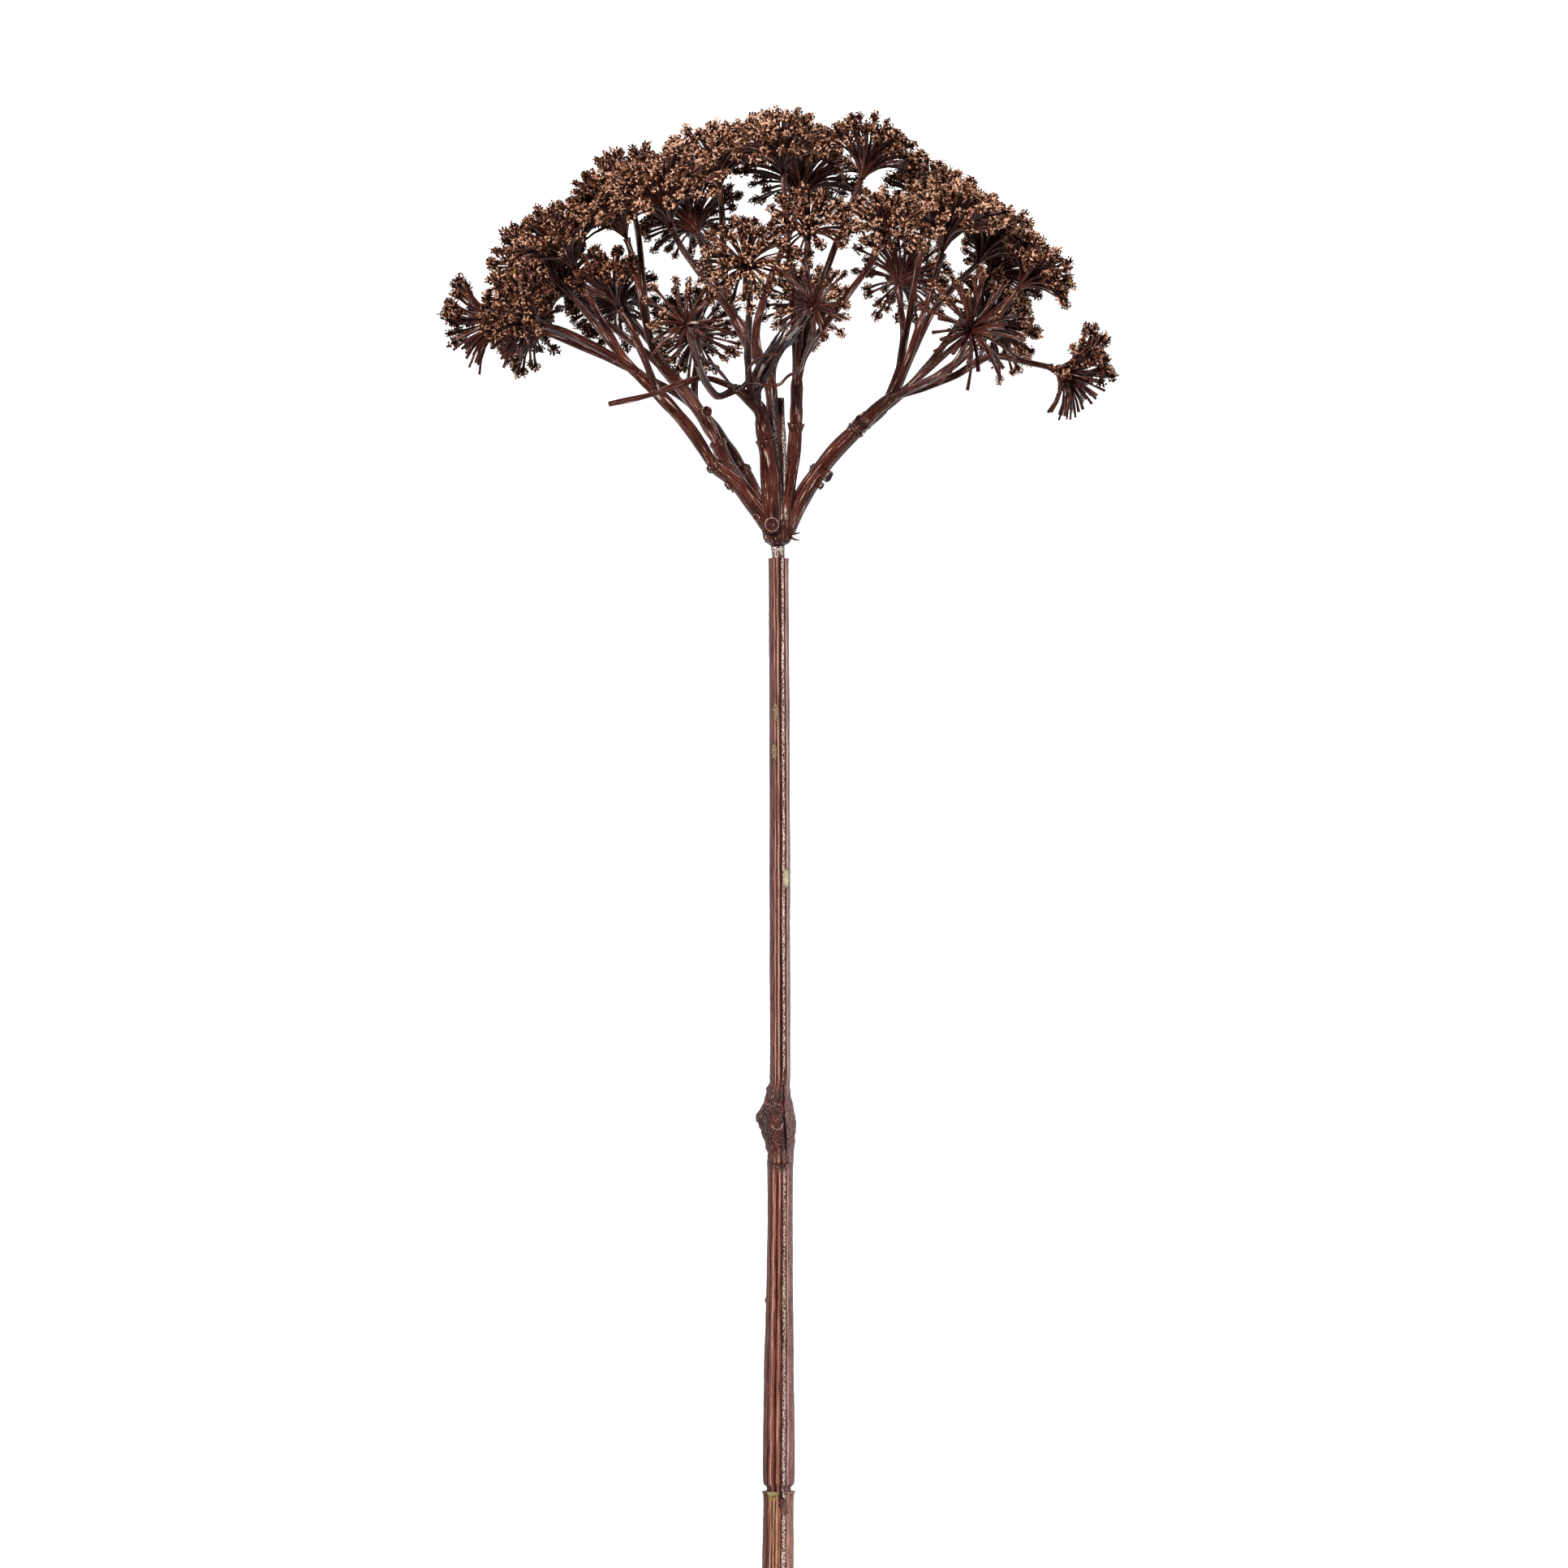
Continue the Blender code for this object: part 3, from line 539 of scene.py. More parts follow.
def ring_faces(count, sides, turned=False):
    """Quads between rings of points, and fans to the two cap points that follow them."""
    side = np.arange(sides)
    after = (side + 1) % sides
    if turned:
        side, after = after, side
    ring = np.arange(count - 1)[:, None] * sides
    quads = np.stack([ring + side, ring + after, ring + sides + after, ring + sides + side], axis=2)
    cap = np.full(sides, count * sides)
    top = (count - 1) * sides
    fans = np.concatenate([np.stack([cap, after, side], axis=1),
                           np.stack([cap + 1, top + side, top + after], axis=1)])
    return quads.reshape(-1, 4), fans


def tube(bundle, path, radii, sides, relief=None, flatten=1, tone=0.5, seed=0):
    """A closed tube along the path; relief(angles, lengths) scales its radius point by point."""
    frames = carried_frames(path)
    centres = np.array(path)
    radii = np.asarray(radii, float)
    steps = np.linalg.norm(np.diff(centres, axis=0), axis=1)
    lengths = np.concatenate(([0.0], np.cumsum(steps)))
    angles = 2 * pi * np.arange(sides) / sides
    scale = relief(angles[None], lengths[:, None]) if relief else np.ones((len(path), sides))
    spread = radii[:, None] * scale
    points = (centres[:, None] + frames[:, None, 1] * (spread * np.cos(angles))[:, :, None]
              + frames[:, None, 2] * (spread * np.sin(angles) * flatten)[:, :, None]).reshape(-1, 3)
    grain = np.stack(np.broadcast_arrays(np.cos(angles) * radii[:, None], np.sin(angles) * radii[:, None],
                                         lengths[:, None] + seed), axis=2).reshape(-1, 3)
    points = np.concatenate([points, centres[[0, -1]]])
    grain = np.concatenate([grain, [[0, 0, seed], [0, 0, lengths[-1] + seed]]])
    bundle.add(points, ring_faces(len(path), sides), grain, tone)


def wood_relief(rng, ribs=4, depth=0.05, lumps=0.05):
    """Lengthwise ribs that wander a little, and slow swellings."""
    waves = [(ribs + k, rng.uniform(0, 6.28), rng.uniform(0.02, 0.06), rng.uniform(0, 6.28))
             for k in range(3)]
    slow = [(rng.uniform(0.15, 0.5), rng.uniform(0, 6.28)) for _ in range(3)]

    def relief(angles, lengths):
        scale = 1.0
        for order, phase, drift, shift in waves:
            scale = scale + depth / 3 * np.cos(order * angles + phase + 1.5 * np.sin(drift * lengths + shift))
        for rate, phase in slow:
            scale = scale + lumps / 3 * np.sin(rate * lengths + phase)
        return scale
    return relief


def resample(path, radii, step):
    """The path and its radii, on a smooth curve with a point every step or so."""
    length = sum((b - a).length for a, b in zip(path, path[1:]))
    spans = max(2, round(length / step / (len(path) - 1)))
    fine = smooth_path(path, spans)
    places = np.arange(len(fine)) / spans
    return fine, np.interp(places, np.arange(len(path)), radii)


def branch(bundle, points, radii, step, sides, rng, relief, tone=0.5):
    """A ribbed tube on a smooth curve through the points."""
    path, fine = resample(points, radii, step)
    tube(bundle, path, fine, sides, wood_relief(rng, *relief), tone=tone, seed=rng.uniform(0, 500))


def cut_scar(bundle, place, direction, radius, length, rng):
    """The stump of a side twig, with a raised rim round a sunken cut face."""
    rings = [(part * length + offset, share, tone) for part, offset, share, tone in CUT_RINGS]
    ring_tube(bundle, lay(place), lay_direction(direction), rings, radius, 18, rng, 0.05)


def ring_tube(bundle, root, axis, rings, radius, sides, rng, jag=0.06, origin=None):
    """A turned body about one axis, whose rings may go back on themselves, with a slightly torn edge."""
    offsets, shares, tones = zip(*rings)
    path = [root + axis * offset for offset in offsets]
    radii = [radius * share for share in shares]
    origin = origin or path[0]
    across = axis.orthogonal().normalized()
    beside = axis.cross(across)
    wobble = [1.0 + rng.uniform(-jag, jag) for _ in range(sides)]
    angles = 2 * pi * np.arange(sides) / sides
    points = []
    for centre, radius in zip(path, radii):
        for angle, share in zip(angles, wobble):
            edge = radius * share
            point = centre + across * edge * cos(angle) + beside * edge * sin(angle)
            points.append(point + axis * 0.25 * (share - 1) * radius * 3)
    points += [path[0], path[-1]]
    angles = np.tile(angles, len(path))
    heights = np.repeat([(p - origin).dot(axis) for p in path], sides)
    spread = np.repeat(radii, sides)
    grain = np.stack([np.cos(angles) * spread, np.sin(angles) * spread, heights + 50], axis=1)
    grain = np.concatenate([grain, [[0, 0, 50], [0, 0, 52]]])
    tones = np.concatenate([np.repeat(tones, sides), [0.4, 0.4]])
    bundle.add(points, ring_faces(len(path), sides), grain, tones)


def jolt(rng, reach):
    """A random step of at most this much each way."""
    return Vector([rng.uniform(-reach, reach) for _ in range(3)])


def thorn(bundle, start, stop, rng):
    bend = start.lerp(stop, 0.6) + jolt(rng, 0.4)
    path = smooth_path([start, bend, stop], 4)
    radii = THORN_RADIUS * np.linspace(1, 0.12, len(path)) ** 0.8
    tube(bundle, path, radii, 7, wood_relief(rng, 2, 0.2), flatten=0.6, tone=0.3)


def make_tufts(rng):
    """A few crumbly floret tufts of unit radius, as points, triangles and a tone for each point."""
    petal = np.array([(1, 0, 0), (0, 1, 0), (-1, 0, 0), (0, -1, 0), (0, 0, 1), (0, 0, -1)], float)
    ring = [(side, (side + 1) % 4) for side in range(4)]
    petal_sides = np.array([(a, b, 4) for a, b in ring] + [(b, a, 5) for a, b in ring])
    tufts = []
    for _ in range(TUFT_VARIANTS):
        # The tuft's core keeps tone 0, so it is near-black: painted shade in the gaps between the petals.
        points = [petal * (0.5, 0.5, 0.75)]
        triangles = [petal_sides]
        tones = [np.zeros(len(petal))]
        start = rng.uniform(0, 6.28)
        for index in range(PETALS):
            cosine = 1.0 - 1.5 * (index + 0.5) / PETALS
            sine = sqrt(1.0 - cosine * cosine)
            angle = start + index * GOLDEN_ANGLE + rng.uniform(-0.3, 0.3)
            direction = Vector((sine * cos(angle), sine * sin(angle), cosine))
            lean = direction + jolt(rng, 1.1)
            turn = np.array(lean.to_track_quat("Z", "Y").to_matrix())
            size = (rng.uniform(0.13, 0.25), rng.uniform(0.08, 0.15), rng.uniform(0.26, 0.46))
            place = np.array(direction) * rng.uniform(0.45, 0.85) * (1, 1, 1.25)
            points.append((petal * size) @ turn.T + place)
            triangles.append(petal_sides + len(petal) * (index + 1))
            tones.append(np.full(len(petal), rng.uniform(0.1, 1)))
        tufts.append((np.concatenate(points), np.concatenate(triangles), np.concatenate(tones)))
    return tufts


def put_tuft(bundle, tuft, tip, axis, size, shade, rng):
    points, triangles, tones = tuft
    turn = axis.to_track_quat("Z", "Y").to_matrix() @ Matrix.Rotation(rng.uniform(0, 6.28), 3, "Z")
    shape = (points * (size, size, size * rng.uniform(0.95, 1.45))) @ np.array(turn).T
    tone = np.clip(tones + shade + rng.uniform(-0.12, 0.12), 0, 1)
    bundle.add(shape + np.array(tip), [triangles], shape, tone)


def pedicel_path(base, tip, facing):
    """Leaves along the facing direction, then arches out to its tip."""
    length = (tip - base).length
    along = (facing * 0.62 + (tip - base).normalized() * 0.38).normalized()
    bend = base + along * length * 0.55
    path = []
    for step in range(PEDICEL_SPANS + 1):
        t = step / PEDICEL_SPANS
        path.append(base * (1 - t) ** 2 + bend * 2 * t * (1 - t) + tip * t ** 2)
    return path


def umbellet(stalks, florets, tufts, base, facing, reach, spread, bare, shade, rng):
    """Pedicels over a cap round the facing direction, each with a tuft of florets or a bare tip."""
    across = facing.orthogonal().normalized()
    beside = facing.cross(across)
    opening, dense, bareness, shortest, stout, plump = STAR if spread > STAR_SPREAD else USUAL
    depth = 1.0 - cos(radians(spread))
    count = round(2 * pi * depth * reach ** 2 / TUFT_SPACING * dense)
    bare_count = round(count * bare * bareness / 10)
    start = rng.uniform(0, 6.28)
    shade = rng.uniform(-0.12, 0.08) + shade
    directions = []
    for index in range(count):
        cosine = 1.0 - depth * (opening + (1.0 - opening) * (index + 0.5) / count)
        sine = sqrt(1.0 - cosine * cosine)
        angle = start + index * GOLDEN_ANGLE + rng.uniform(-0.15, 0.15)
        direction = facing * cosine + (across * cos(angle) + beside * sin(angle)) * sine
        directions.append((direction + jolt(rng, 0.07)).normalized())
    lowest_first = sorted(range(count), key=lambda index: directions[index].y)
    bare_ones = set(lowest_first[:bare_count])
    for index, direction in enumerate(directions):
        length = reach * rng.uniform(shortest, 1.02)
        tip = base + direction * (length - TUFT_RADIUS)
        tip.z = max(tip.z, TUFT_RADIUS * 0.7)
        path = pedicel_path(base, tip, facing)
        axis = (path[-1] - path[-2]).normalized()
        is_bare = index in bare_ones
        thick = PEDICEL_RADIUS * rng.uniform(0.8, 1.15) * stout
        radii = thick * np.array([0.8, 0.95, 0.9, 0.85, 0.9, 1.15 if is_bare else 1.3])
        tube(stalks, path, radii, PEDICEL_SIDES, tone=rng.uniform(0.2, 0.8), seed=rng.uniform(0, 500))
        if not is_bare:
            size = TUFT_RADIUS * rng.uniform(0.8, 1.15) * plump
            put_tuft(florets, rng.choice(tufts), path[-1] + axis * 0.5, axis, size, shade, rng)


def tendrils_and_husk(stalks, ray):
    rng = random.Random(HUSK_SEED)
    for points in TENDRILS:
        branch(stalks, lay_all(points), [TENDRIL_RADIUS] * len(points), 0.8, PEDICEL_SIDES + 2, rng,
               (2, 0.1, 0.2))
    for _ in range(HUSK_FIBRES):
        path = []
        for share, spread in ((0.1, 1.2), (0.35, 2.2), (rng.uniform(0.55, 0.85), 3.2)):
            place = share * (len(ray) - 1)
            at = ray[int(place)].lerp(ray[int(place) + 1], place % 1)
            path.append(at + jolt(rng, spread))
        path, fine = resample(path, [0.8, 0.85, 0.35], 0.9)
        tube(stalks, path, fine, PEDICEL_SIDES, wood_relief(rng, 2, 0.2, 0.3),
             tone=rng.choice((0.1, 0.15, 0.95)), seed=rng.uniform(0, 500))


def make_spray(name, spray, tufts, bark, bloom, rng):
    node = "spray_" + name
    end, trunk, axes, rays = spray
    axis = axes[0]
    stalks = Bundle()
    florets = Bundle()
    root = [end - axis * 3.5, end - axis * 0.5, *trunk]
    radii = [1.5, 1.55, 1.9] + [TRUNK_RADIUS] * (len(trunk) - 2) + [TRUNK_END_RADIUS]
    if name == "centre":
        radii[2:5] = [2.7, 3, 2.7]
    branch(stalks, root, radii, 0.9, BARK_SIDES, rng, (4, 0.12, 0.12))
    if name == "right":
        ring_tube(stalks, trunk[0], axis, COLLAR, TRUNK_RADIUS, 24, rng, 0.14, root[0])
    if name == "centre":
        branch(stalks, lay_all(CUT_TWIG), [1.2, 1.1, 1.05, 1, 0.9], 0.8, RAY_SIDES, rng, (3, 0.12, 0.14))
        tendrils_and_husk(stalks, rays[HUSK_RAY][0])
    for scar in SCARS.get(name, ()):
        cut_scar(stalks, *scar, rng)
    shade = SPRAY_SHADES.get(name, 0)
    for index, (route, facing, reach, spread, bare) in enumerate(rays):
        if (name, index) in SWEPT:
            facing = lay_direction(SWEPT[name, index])
        radii = np.linspace(RAY_START_RADIUS, RAY_END_RADIUS, len(route)) * 1.05
        radii[0] *= 1.2
        path, fine = resample(route, radii, 0.9)
        fine[-3:] *= (1.1, 1.3, 1.5)
        tube(stalks, path, fine, RAY_SIDES, wood_relief(rng, 3, 0.16, 0.12), tone=rng.uniform(0.3, 0.7),
             seed=rng.uniform(0, 500))
        umbellet(stalks, florets, tufts, route[-1], facing, reach, spread, bare, shade, rng)
    stalks.make(f"{name}_rays", bark, node)
    florets.make(f"{name}_florets", bloom, node, smooth=False)


def make_neck(hub, rng):
    """The neck and the bulge, and a rubbed, pale-flecked ring where the neck leaves the stalk."""
    top, _, offset = STALKS["stalk_with_node"].profile[-1]
    neck = ((top - 6, NECK_RADIUS, offset), (top, NECK_RADIUS, offset), *BULGE)
    heights, radii, offsets = zip(*neck)
    path, fine = resample(lay_all(zip(offsets, heights, [0] * len(neck))), radii, 0.5)
    tube(hub, path, fine, 36, wood_relief(rng, 6, 0.14, 0.03), tone=0.16)
    branch(hub, lay_all(((0.3, top - 1, 0), (0.2, -7, 0), (0, -5.2, 0))), [2.25, 2.2, 2.35], 0.4, 22,
           rng, (3, 0.22, 0.3), 0.95)


def make_arm(hub, name, points, rng):
    thick, thin = ARM_RADII.get(name, (ARM_ROOT_RADIUS, ARM_RADIUS))
    path, fine = resample(lay_all(points), np.linspace(thick, thin, len(points)), 0.6)
    axis = (path[-1] - path[-2]).normalized()
    end = path[-1]
    path = path[:-2] + [end - axis * 1.2]
    fine = [*fine[:-2], thin]
    tube(hub, path, fine, 22, wood_relief(rng, 4, 0.09, 0.07), seed=rng.uniform(0, 500))
    ring_tube(hub, end, axis, RIM, LIP_RADIUS + thin - ARM_RADIUS, 24, rng)


def make_sliver(hub, rng):
    """The flat sliver, with a pale edge on each side that is partly a painted highlight."""
    path, fine = resample(lay_all(SLIVER), [1.0, 1.7, 2.0], 0.8)
    tube(hub, path, fine, 10, wood_relief(rng, 2, 0.25, 0.1), flatten=0.4, tone=0.4, seed=300)
    for side in (-1, 1):
        edge = [(x + side * share, y, z + 1.1) for (x, y, z), share in zip(SLIVER, (0.7, 1.3, 1.6))]
        branch(hub, lay_all(edge), [0.45, 0.65, 0.55], 0.8, 6, rng, (2, 0.3, 0.3), 0.98)


def make_hub(bark, rng):
    hub = Bundle()
    make_neck(hub, rng)
    for name, points in ARMS.items():
        make_arm(hub, name, points, rng)
    make_sliver(hub, rng)
    for scar in SCARS["hub"]:
        cut_scar(hub, *scar, rng)
    for root, tip in THORNS:
        thorn(hub, lay(root), lay(tip), rng)
    hub.make("hub_and_arms", bark, "head_hub")


def stem_rings(stalk):
    """Heights, radii and offsets of a stem piece at a fine step, with its plug and its hollow top."""
    foot, top = stalk.profile[0][0], stalk.profile[-1][0]
    heights = np.append(np.arange(foot, top, STEM_STEP), top)
    places = np.array(smooth_path([Vector(row) for row in stalk.profile], 8))
    order = np.maximum.accumulate(places[:, 0])
    radii = np.interp(heights, order, places[:, 1])
    offsets = np.interp(heights, order, places[:, 2])
    rows = list(zip(heights, radii, offsets))
    if stalk.plug:
        rows = [(foot - 5, stalk.plug, offsets[0]), (foot - 0.2, stalk.plug, offsets[0])] + rows
    socket = stalk.socket
    rows += [(top + 0.05, (radii[-1] + socket) / 2, offsets[-1]), (top, socket, offsets[-1]),
             (top - 6, socket * 0.95, offsets[-1])]
    return rows


def bell(distance, width):
    return np.exp(-(distance / width) ** 2)


def stem_relief(stalk, around, height, radius, rough):
    """How far each point round the stalk stands out, as a share of its radius."""
    wave = np.ones(len(around))
    for place, width, rise in stalk.ribs:
        wave += (1.0 - rough) * rise * bell(around - place, width)
    for place, width, depth in stalk.grooves:
        wave -= (1.0 - rough) * depth * bell(around - place, width)
    for row, place, size, spread in stalk.bumps:
        turn = (around - place + pi) % (2 * pi) - pi
        wave += size * bell(turn * radius, spread) * bell(height - pixel_height(row), spread)
    for top, bottom, place in stalk.cracks:
        fade = min(1, (pixel_height(top) - height) / 4, (height - pixel_height(bottom)) / 2)
        wave -= 0.13 * max(0, fade) * bell(around - place - 0.05 * sin(0.4 * height), 0.06)
    return wave


def stem_piece(name, stalk, material):
    """A ribbed stalk with a fine grain, rough along its lumpy stretch."""
    rings = stem_rings(stalk)
    angles = 2 * pi * np.arange(STEM_SIDES) / STEM_SIDES
    around = (pi / 2 - angles + pi) % (2 * pi) - pi
    points = []
    grain = []
    for height, radius, offset in rings:
        rough = sum(bell(height - pixel_height(row), reach) for row, reach in stalk.lumps)
        wave = stem_relief(stalk, around, height, radius, rough)
        for angle, side_angle, share in zip(angles, around, wave):
            across, out = radius * cos(angle), radius * sin(angle)
            long_grain, crumb, grit = (noise.noise(Vector((across * wide, out * wide, height * long)))
                                       for wide, long in SURFACE_NOISES)
            rise = rough * (0.35 if side_angle > SPLIT_PLACE else 1)
            lumps = (0.05 + 0.9 * rise) * crumb + (0.05 + 0.45 * rise) * grit
            edge = share + 0.035 * long_grain + lumps / radius
            points.append(lay((offset + edge * across, height, edge * out)))
            grain.append((across, out, height))
    for height, _, offset in (rings[0], rings[-1]):
        points.append(lay((offset, height, 0)))
        grain.append((0, 0, height))
    bundle = Bundle()
    bundle.add(points, ring_faces(len(rings), STEM_SIDES, turned=True), grain)
    bundle.make(name, material, stalk.node)


class Nodes:
    """Short calls for building a node material."""

    def __init__(self, name):
        self.material = bpy.data.materials.new(name)
        self.material.use_nodes = True
        self.tree = self.material.node_tree

    def feed(self, socket, value):
        """Links another node's output to the socket, or sets the socket's value."""
        if isinstance(value, bpy.types.NodeSocket):
            self.tree.links.new(value, socket)
        elif socket.type == "RGBA":
            socket.default_value = (*value, 1)
        else:
            socket.default_value = value

    def node(self, kind, inputs, **settings):
        made = self.tree.nodes.new("ShaderNode" + kind)
        for setting, value in settings.items():
            setattr(made, setting, value)
        for place, value in inputs.items():
            self.feed(made.inputs[place], value)
        return made.outputs

    def attribute(self, name, output):
        return self.node("Attribute", {}, attribute_name=name)[output]

    def math(self, operation, *values):
        return self.node("Math", dict(enumerate(values)), operation=operation)[0]

    def plus(self, first, second):
        return self.math("ADD", first, second)

    def minus(self, first, second):
        return self.math("SUBTRACT", first, second)

    def times(self, first, *others):
        for other in others:
            first = self.math("MULTIPLY", first, other)
        return first

    def line(self, value, slope, offset):
        return self.math("MULTIPLY_ADD", value, slope, offset)

    def rise(self, value, low, high):
        """Smoothly from none at low to one at high."""
        return self.node("MapRange", {"Value": value, "From Min": low, "From Max": high},
                         interpolation_type="SMOOTHSTEP")[0]

    def fall(self, value, low, high):
        return self.minus(1, self.rise(value, low, high))

    def noise(self, vector, across, along, detail, roughness):
        scaled = self.node("VectorMath", {0: vector, 1: (across, across, along)}, operation="MULTIPLY")[0]
        inputs = {"Vector": scaled, "Scale": 1, "Detail": detail, "Roughness": roughness}
        return self.node("TexNoise", inputs)["Fac"]

    def ramp(self, value, *stops):
        made = self.tree.nodes.new("ShaderNodeValToRGB")
        marks = made.color_ramp.elements
        while len(marks) < len(stops):
            marks.new(0.5)
        for mark, (place, colour) in zip(marks, stops):
            mark.position = place
            mark.color = (*colour, 1)
        self.feed(made.inputs[0], value)
        return made.outputs[0]

    def mix(self, factor, first, second, blend="MIX"):
        return self.node("Mix", {0: factor, 6: first, 7: second}, data_type="RGBA", blend_type=blend)[2]

    def bump(self, height, strength, distance):
        return self.node("Bump", {"Strength": strength, "Distance": distance, "Height": height})[0]

    def dress(self, inputs):
        """Feeds the shader and gives the finished material."""
        shader = self.tree.nodes["Principled BSDF"]
        for name, value in inputs.items():
            self.feed(shader.inputs[name], value)
        return self.material


def bark_material():
    """Dark reddish-brown twigs: streaks along the grain whose palest stripes are painted highlights, pale
    specks, rubbed pale flecks that are partly painted highlight, a low gloss.
    """
    n = Nodes("dark_bark")
    grain = n.attribute("grain", "Vector")
    tone = n.attribute("tone", "Fac")
    streaks = n.noise(grain, 1.7, 0.1, 5, 0.62)
    patches = n.noise(grain, 0.4, 0.12, 3, 0.5)
    specks = n.noise(grain, 3.5, 1.4, 2, 0.5)
    flecks = n.noise(grain, 4.5, 2, 3, 0.6)
    # The ramp's palest stop paints highlights along the twigs; the rest is streaky grain colour.
    base = n.ramp(streaks, (0.37, (0.008, 0.002, 0.002)), (0.5, (0.031, 0.007, 0.005)),
                  (0.61, (0.066, 0.019, 0.013)), (0.675, (0.5, 0.38, 0.33)))
    warm = n.mix(n.rise(patches, 0.45, 0.7), base, (0.09, 0.024, 0.013))
    wood = n.mix(n.rise(specks, 0.69, 0.76), n.mix(0.5, base, warm), (0.3, 0.2, 0.16))
    # Pale flecks on the high-tone parts (rims, collar, cut scars, neck ring, fibres, the sliver's edges):
    # rubbed flecks, and on the sliver's raised edges partly a painted highlight.
    rubbing_and_gleam = n.ramp(flecks, (0.43, (0.012, 0.004, 0.003)), (0.51, (0.1, 0.045, 0.028)),
                  (0.58, (0.66, 0.56, 0.5)))
    wood = n.mix(n.rise(tone, 0.85, 0.9), wood, rubbing_and_gleam)
    return n.dress({
        "Base Color": n.mix(n.rise(tone, 0.12, 0.18), (0.009, 0.003, 0.003), wood),
        "Roughness": n.line(streaks, 0.22, 0.08),
        "Specular IOR Level": 0.1,
        "Specular Tint": (1, 0.7, 0.62),
        "Normal": n.bump(n.plus(streaks, n.times(specks, 0.3)), 0.6, 0.0007),
    })


def bloom_material():
    """Crumbly florets: every grain its own brown, with coppery crowns and a few yellow-green specks."""
    n = Nodes("copper_florets")
    tone = n.attribute("tone", "Fac")
    crumbs = n.noise(n.attribute("grain", "Vector"), 2.6, 2.6, 3, 0.7)
    base = n.ramp(n.line(n.minus(crumbs, 0.5), 0.9, tone),
                  (0.15, (0.006, 0.0015, 0.0008)), (0.44, (0.045, 0.014, 0.007)),
                  (0.7, (0.17, 0.064, 0.033)), (0.97, (0.55, 0.32, 0.22)))
    position = n.node("NewGeometry", {})["Position"]
    spots = n.noise(position, 260, 260, 1, 0.5)
    return n.dress({
        "Base Color": n.mix(n.rise(spots, 0.755, 0.78), base, (0.17, 0.14, 0.02)),
        "Roughness": 0.6,
        "Specular IOR Level": 0.02,
        "Normal": n.bump(crumbs, 0.5, 0.0004),
    })


class StalkNodes(Nodes):
    """The stalk's noises and places, and its wood, which one marking after another paints over."""

    def __init__(self, name, colours):
        super().__init__(name)
        grain = self.attribute("grain", "Vector")
        x, z, self.height = self.node("SeparateXYZ", {0: grain})
        self.angle = self.math("ARCTAN2", x, z)
        self.fine = self.noise(grain, 3.6, 0.11, 6, 0.75)
        self.rough = self.noise(grain, 2.6, 1.3, 4, 0.68)
        self.chunks = self.noise(grain, 1.5, 0.75, 4, 0.7)
        self.cloud = self.noise(grain, 0.4, 0.22, 2, 0.5)
        self.sway = self.minus(self.noise(grain, 0.5, 0.05, 3, 0.55), 0.5)
        # Broad noise for how pale the ribs are: partly rubbed paleness, partly a painted highlight that comes
        # and goes along the stalk.
        rib_gleam_noise = self.noise(grain, 0.35, 0.06, 2, 0.5)
        self.rubbing_and_gleam = self.line(self.rise(rib_gleam_noise, 0.4, 0.54), 0.6, 0.3)
        self.plain = 1.0
        around = self.rise(self.line(self.sway, 1.4, self.angle), -1.5, 1.5)
        zones = self.ramp(around, *zip(WOOD_ZONES, colours))
        # Fine streaks along the grain; the brightest, whitish ones are painted highlights.
        streaks = self.ramp(self.fine, (0.36, (0.1, 0.07, 0.07)), (0.46, (0.55, 0.48, 0.48)),
                            (0.55, (1.25, 1.25, 1.25)), (0.63, (2.3, 2.6, 2.7)))
        self.wood = self.mix(1, zones, streaks, "MULTIPLY")

    def paint(self, colour, *shares):
        """Lays a colour over the wood, as strongly as the product of the shares."""
        self.wood = self.mix(self.times(*shares), self.wood, colour)

    def band(self, place, half_width):
        """A stripe along the stalk that wanders a little."""
        wander = self.line(self.sway, 0.16, self.angle)
        return self.fall(self.math("ABSOLUTE", self.minus(wander, place)), half_width * 0.3, half_width)

    def inside(self, value, low, high, soft):
        return self.times(self.rise(value, low - soft, low), self.fall(value, high, high + soft))


def paint_ochre(n, low, high, strength):
    """Straw-coloured streaks left of the front."""
    straw = n.ramp(n.fine, (0.4, (0.04, 0.012, 0.006)), (0.47, (0.17, 0.07, 0.028)),
                   (0.56, (0.27, 0.14, 0.06)), (0.64, (0.5, 0.36, 0.22)))
    n.paint(straw, n.inside(n.angle, -0.56, -0.1, 0.12),
            n.rise(n.height, pixel_height(low), pixel_height(high)), strength)


def paint_crust(n, row, reach):
    """Dark, lumpy bark round a joint, without the ribs and grooves."""
    share = n.fall(n.math("ABSOLUTE", n.minus(n.height, pixel_height(row))), reach * 0.45, reach)
    n.plain = n.minus(1, share)
    crust = n.mix(n.rise(n.cloud, 0.46, 0.58), (0.034, 0.02, 0.018), (0.068, 0.018, 0.014))
    crust = n.mix(n.rise(n.angle, SPLIT_PLACE, SPLIT_PLACE + 0.1), crust, (0.13, 0.068, 0.065))
    lumps = n.ramp(n.chunks, (0.36, (0.15, 0.13, 0.13)), (0.45, (0.75, 0.7, 0.7)),
                   (0.58, (1.2, 1.2, 1.2)), (0.68, (1.8, 2.1, 2.1)))
    n.paint(n.mix(1, crust, lumps, "MULTIPLY"), share, 0.92)
    n.paint((0.45, 0.31, 0.28), share, n.rise(n.rough, 0.6, 0.64))


# A near-black stripe along a groove, a little wider than it: painted shade in the groove.
def paint_groove_shade(n, place, width, _):
    n.paint((0.007, 0.0025, 0.002), n.band(place, width * 1.5), n.plain, 0.95)


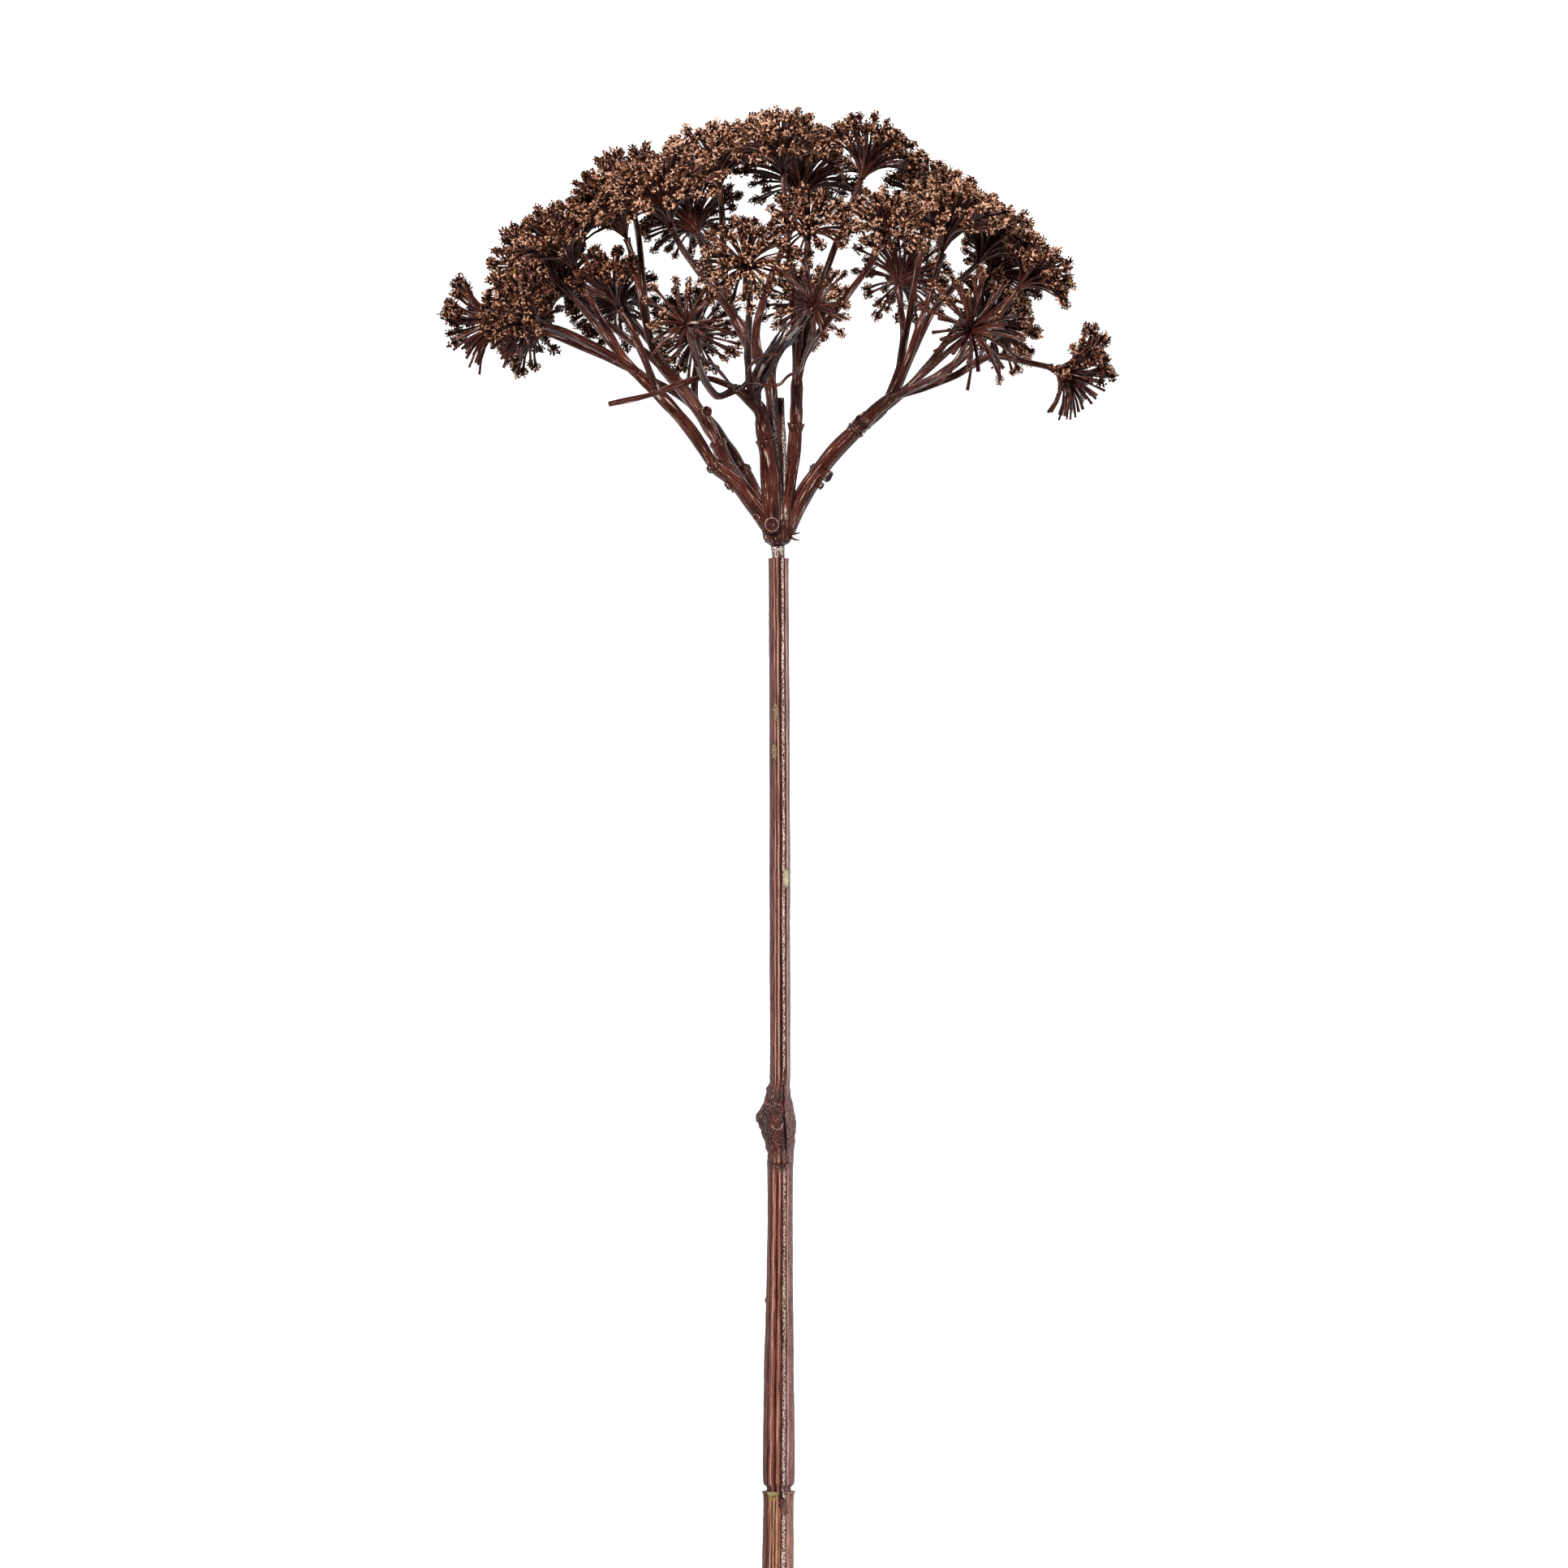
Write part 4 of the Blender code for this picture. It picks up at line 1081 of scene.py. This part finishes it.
# Paints a pale stripe along a rib: partly rubbed paleness, partly a painted highlight on the ridge.
def paint_rib_rubbing_and_highlight(n, place, width, _):
    n.paint((0.48, 0.31, 0.25), n.band(place, width), n.plain, n.rubbing_and_gleam)


def paint_seam(n, place, width, strength):
    flecks = n.ramp(n.rough, (0.42, (0.008, 0.003, 0.002)), (0.48, (0.17, 0.065, 0.05)),
                    (0.54, (0.82, 0.66, 0.58)))
    n.paint(flecks, n.band(place, width), n.plain, strength)


# A near-black line along the crack: painted shade inside the crack.
def paint_crack_shade(n, top, bottom, place):
    along = n.inside(n.height, pixel_height(bottom), pixel_height(top), 1)
    n.paint((0.004, 0.002, 0.002), n.band(place, 0.1), along, 0.97)


def paint_scar(n, place, row, size):
    """The lower half of a pale ring."""
    side = n.times(n.minus(n.angle, place), KNOT_RADIUS)
    up = n.minus(n.height, pixel_height(row))
    far = n.math("SQRT", n.plus(n.times(side, side), n.times(up, up)))
    ring = n.fall(n.math("ABSOLUTE", n.minus(far, size)), 0.06, 0.2)
    n.paint((0.5, 0.4, 0.36), ring, n.fall(up, -0.3, 0.6), n.rise(n.chunks, 0.4, 0.5), 0.85)


def paint_patch(n, place, row, half_width, half_length, colour, outline):
    """A ragged spot of another colour, with dark specks and a dark outline."""
    side = n.math("DIVIDE", n.minus(n.angle, place), half_width)
    up = n.math("DIVIDE", n.minus(n.height, pixel_height(row)), half_length)
    far = n.plus(n.times(side, side), n.times(up, up))
    far = n.line(n.minus(n.plus(n.rough, n.chunks), 1), 3.5, far)
    n.paint((0.008, 0.003, 0.003), n.inside(far, 1, 1.7, 0.2), outline)
    spots = n.mix(n.rise(n.chunks, 0.36, 0.46), (0.05, 0.022, 0.014), colour)
    n.paint(spots, n.fall(far, 0.8, 0.92), 0.92)


def stem_material(stalk):
    """Ribbed red-brown stalk: dark red at the left, mauve and chipped at the right, with its markings,
    painted shade in its grooves and crack, and painted highlights on its ribs and brightest streaks.
    """
    n = StalkNodes(stalk.node.replace("stem", "stalk"), stalk.colours)
    for row in stalk.ochres:
        paint_ochre(n, *row)
    n.paint((0.34, 0.2, 0.18), n.rise(n.angle, 0.1, 0.5), n.rise(n.chunks, 0.52, 0.6), 0.5)
    markings = ((paint_crust, stalk.crusts), (paint_groove_shade, stalk.grooves), (paint_rib_rubbing_and_highlight, stalk.ribs),
                (paint_seam, stalk.seams), (paint_crack_shade, stalk.cracks), (paint_scar, stalk.scars),
                (paint_patch, stalk.patches))
    for paint, rows in markings:
        for row in rows:
            paint(n, *row)
    return n.dress({
        "Base Color": n.wood,
        "Roughness": n.line(n.rough, 0.35, 0.18),
        "Specular IOR Level": 0.12,
        "Specular Tint": (1, 0.75, 0.68),
        "Normal": n.bump(n.plus(n.fine, n.times(n.chunks, 0.4)), 0.9, 0.0009),
    })


def make_floor():
    mesh = bpy.data.meshes.new("floor")
    half = FLOOR_HALF_WIDTH
    corners = [(-half, -half, 0), (half, -half, 0), (half, half, 0), (-half, half, 0)]
    mesh.from_pydata(corners, [], [(0, 1, 2, 3)])
    mesh.materials.append(Nodes("pale_floor").dress({
        "Base Color": (0.4, 0.4, 0.4),
        "Roughness": 0.9,
        "Specular IOR Level": 0.1,
        "Emission Color": (1, 1, 1),
        "Emission Strength": 0.95,
    }))
    floor = add_object("floor", mesh)
    floor.location.z = -FLOOR_DROP


def make_lights():
    world = bpy.data.worlds.new("studio")
    world.use_nodes = True
    background = world.node_tree.nodes["Background"]
    background.inputs["Color"].default_value = (1, 1, 1, 1)
    background.inputs["Strength"].default_value = SKY_STRENGTH
    scene.world = world
    for name, place, size, power in LIGHTS:
        data = bpy.data.lights.new(name, "AREA")
        data.shape = "DISK"
        data.size = size
        data.energy = power
        light = add_object(name, data)
        light.location = place
        light.rotation_euler = (Vector(LIGHT_TARGET) - Vector(place)).to_track_quat("-Z", "Y").to_euler()


def make_camera():
    """Looks square on to the stem's axis, from above, with the photograph's frame."""
    up = lay_direction((0, 1, 0))
    out = lay_direction((0, 0, 1))
    right = up.cross(out)
    middle = PHOTO_SIZE / 2
    target = lay(((middle - HUB_PIXEL[0]) * MM_PER_PIXEL, pixel_height(middle), 0))
    data = bpy.data.cameras.new("camera")
    data.sensor_width = SENSOR_WIDTH
    data.lens = SENSOR_WIDTH * CAMERA_DISTANCE / (PHOTO_SIZE * MM_PER_PIXEL * MM)
    data.clip_end = FAR_CLIP
    camera = add_object("camera", data)
    turn = Matrix((right, up, out)).transposed().to_4x4()
    place = target * MM + Vector(HUB) + out * CAMERA_DISTANCE
    camera.matrix_world = Matrix.Translation(place) @ turn
    scene.camera = camera


HUB = hub_place()
make_camera()
make_floor()
make_lights()
bark = bark_material()
bloom = bloom_material()
dice = random.Random(DICE_SEED)
tufts = make_tufts(dice)
for stalk_name, stalk in STALKS.items():
    stem_piece(stalk_name, stalk, stem_material(stalk))
make_hub(bark, dice)
for spray_name, spray in lay_out().items():
    make_spray(spray_name, spray, tufts, bark, bloom, dice)

scene.view_settings.view_transform = "Standard"
bpy.context.view_layer.update()
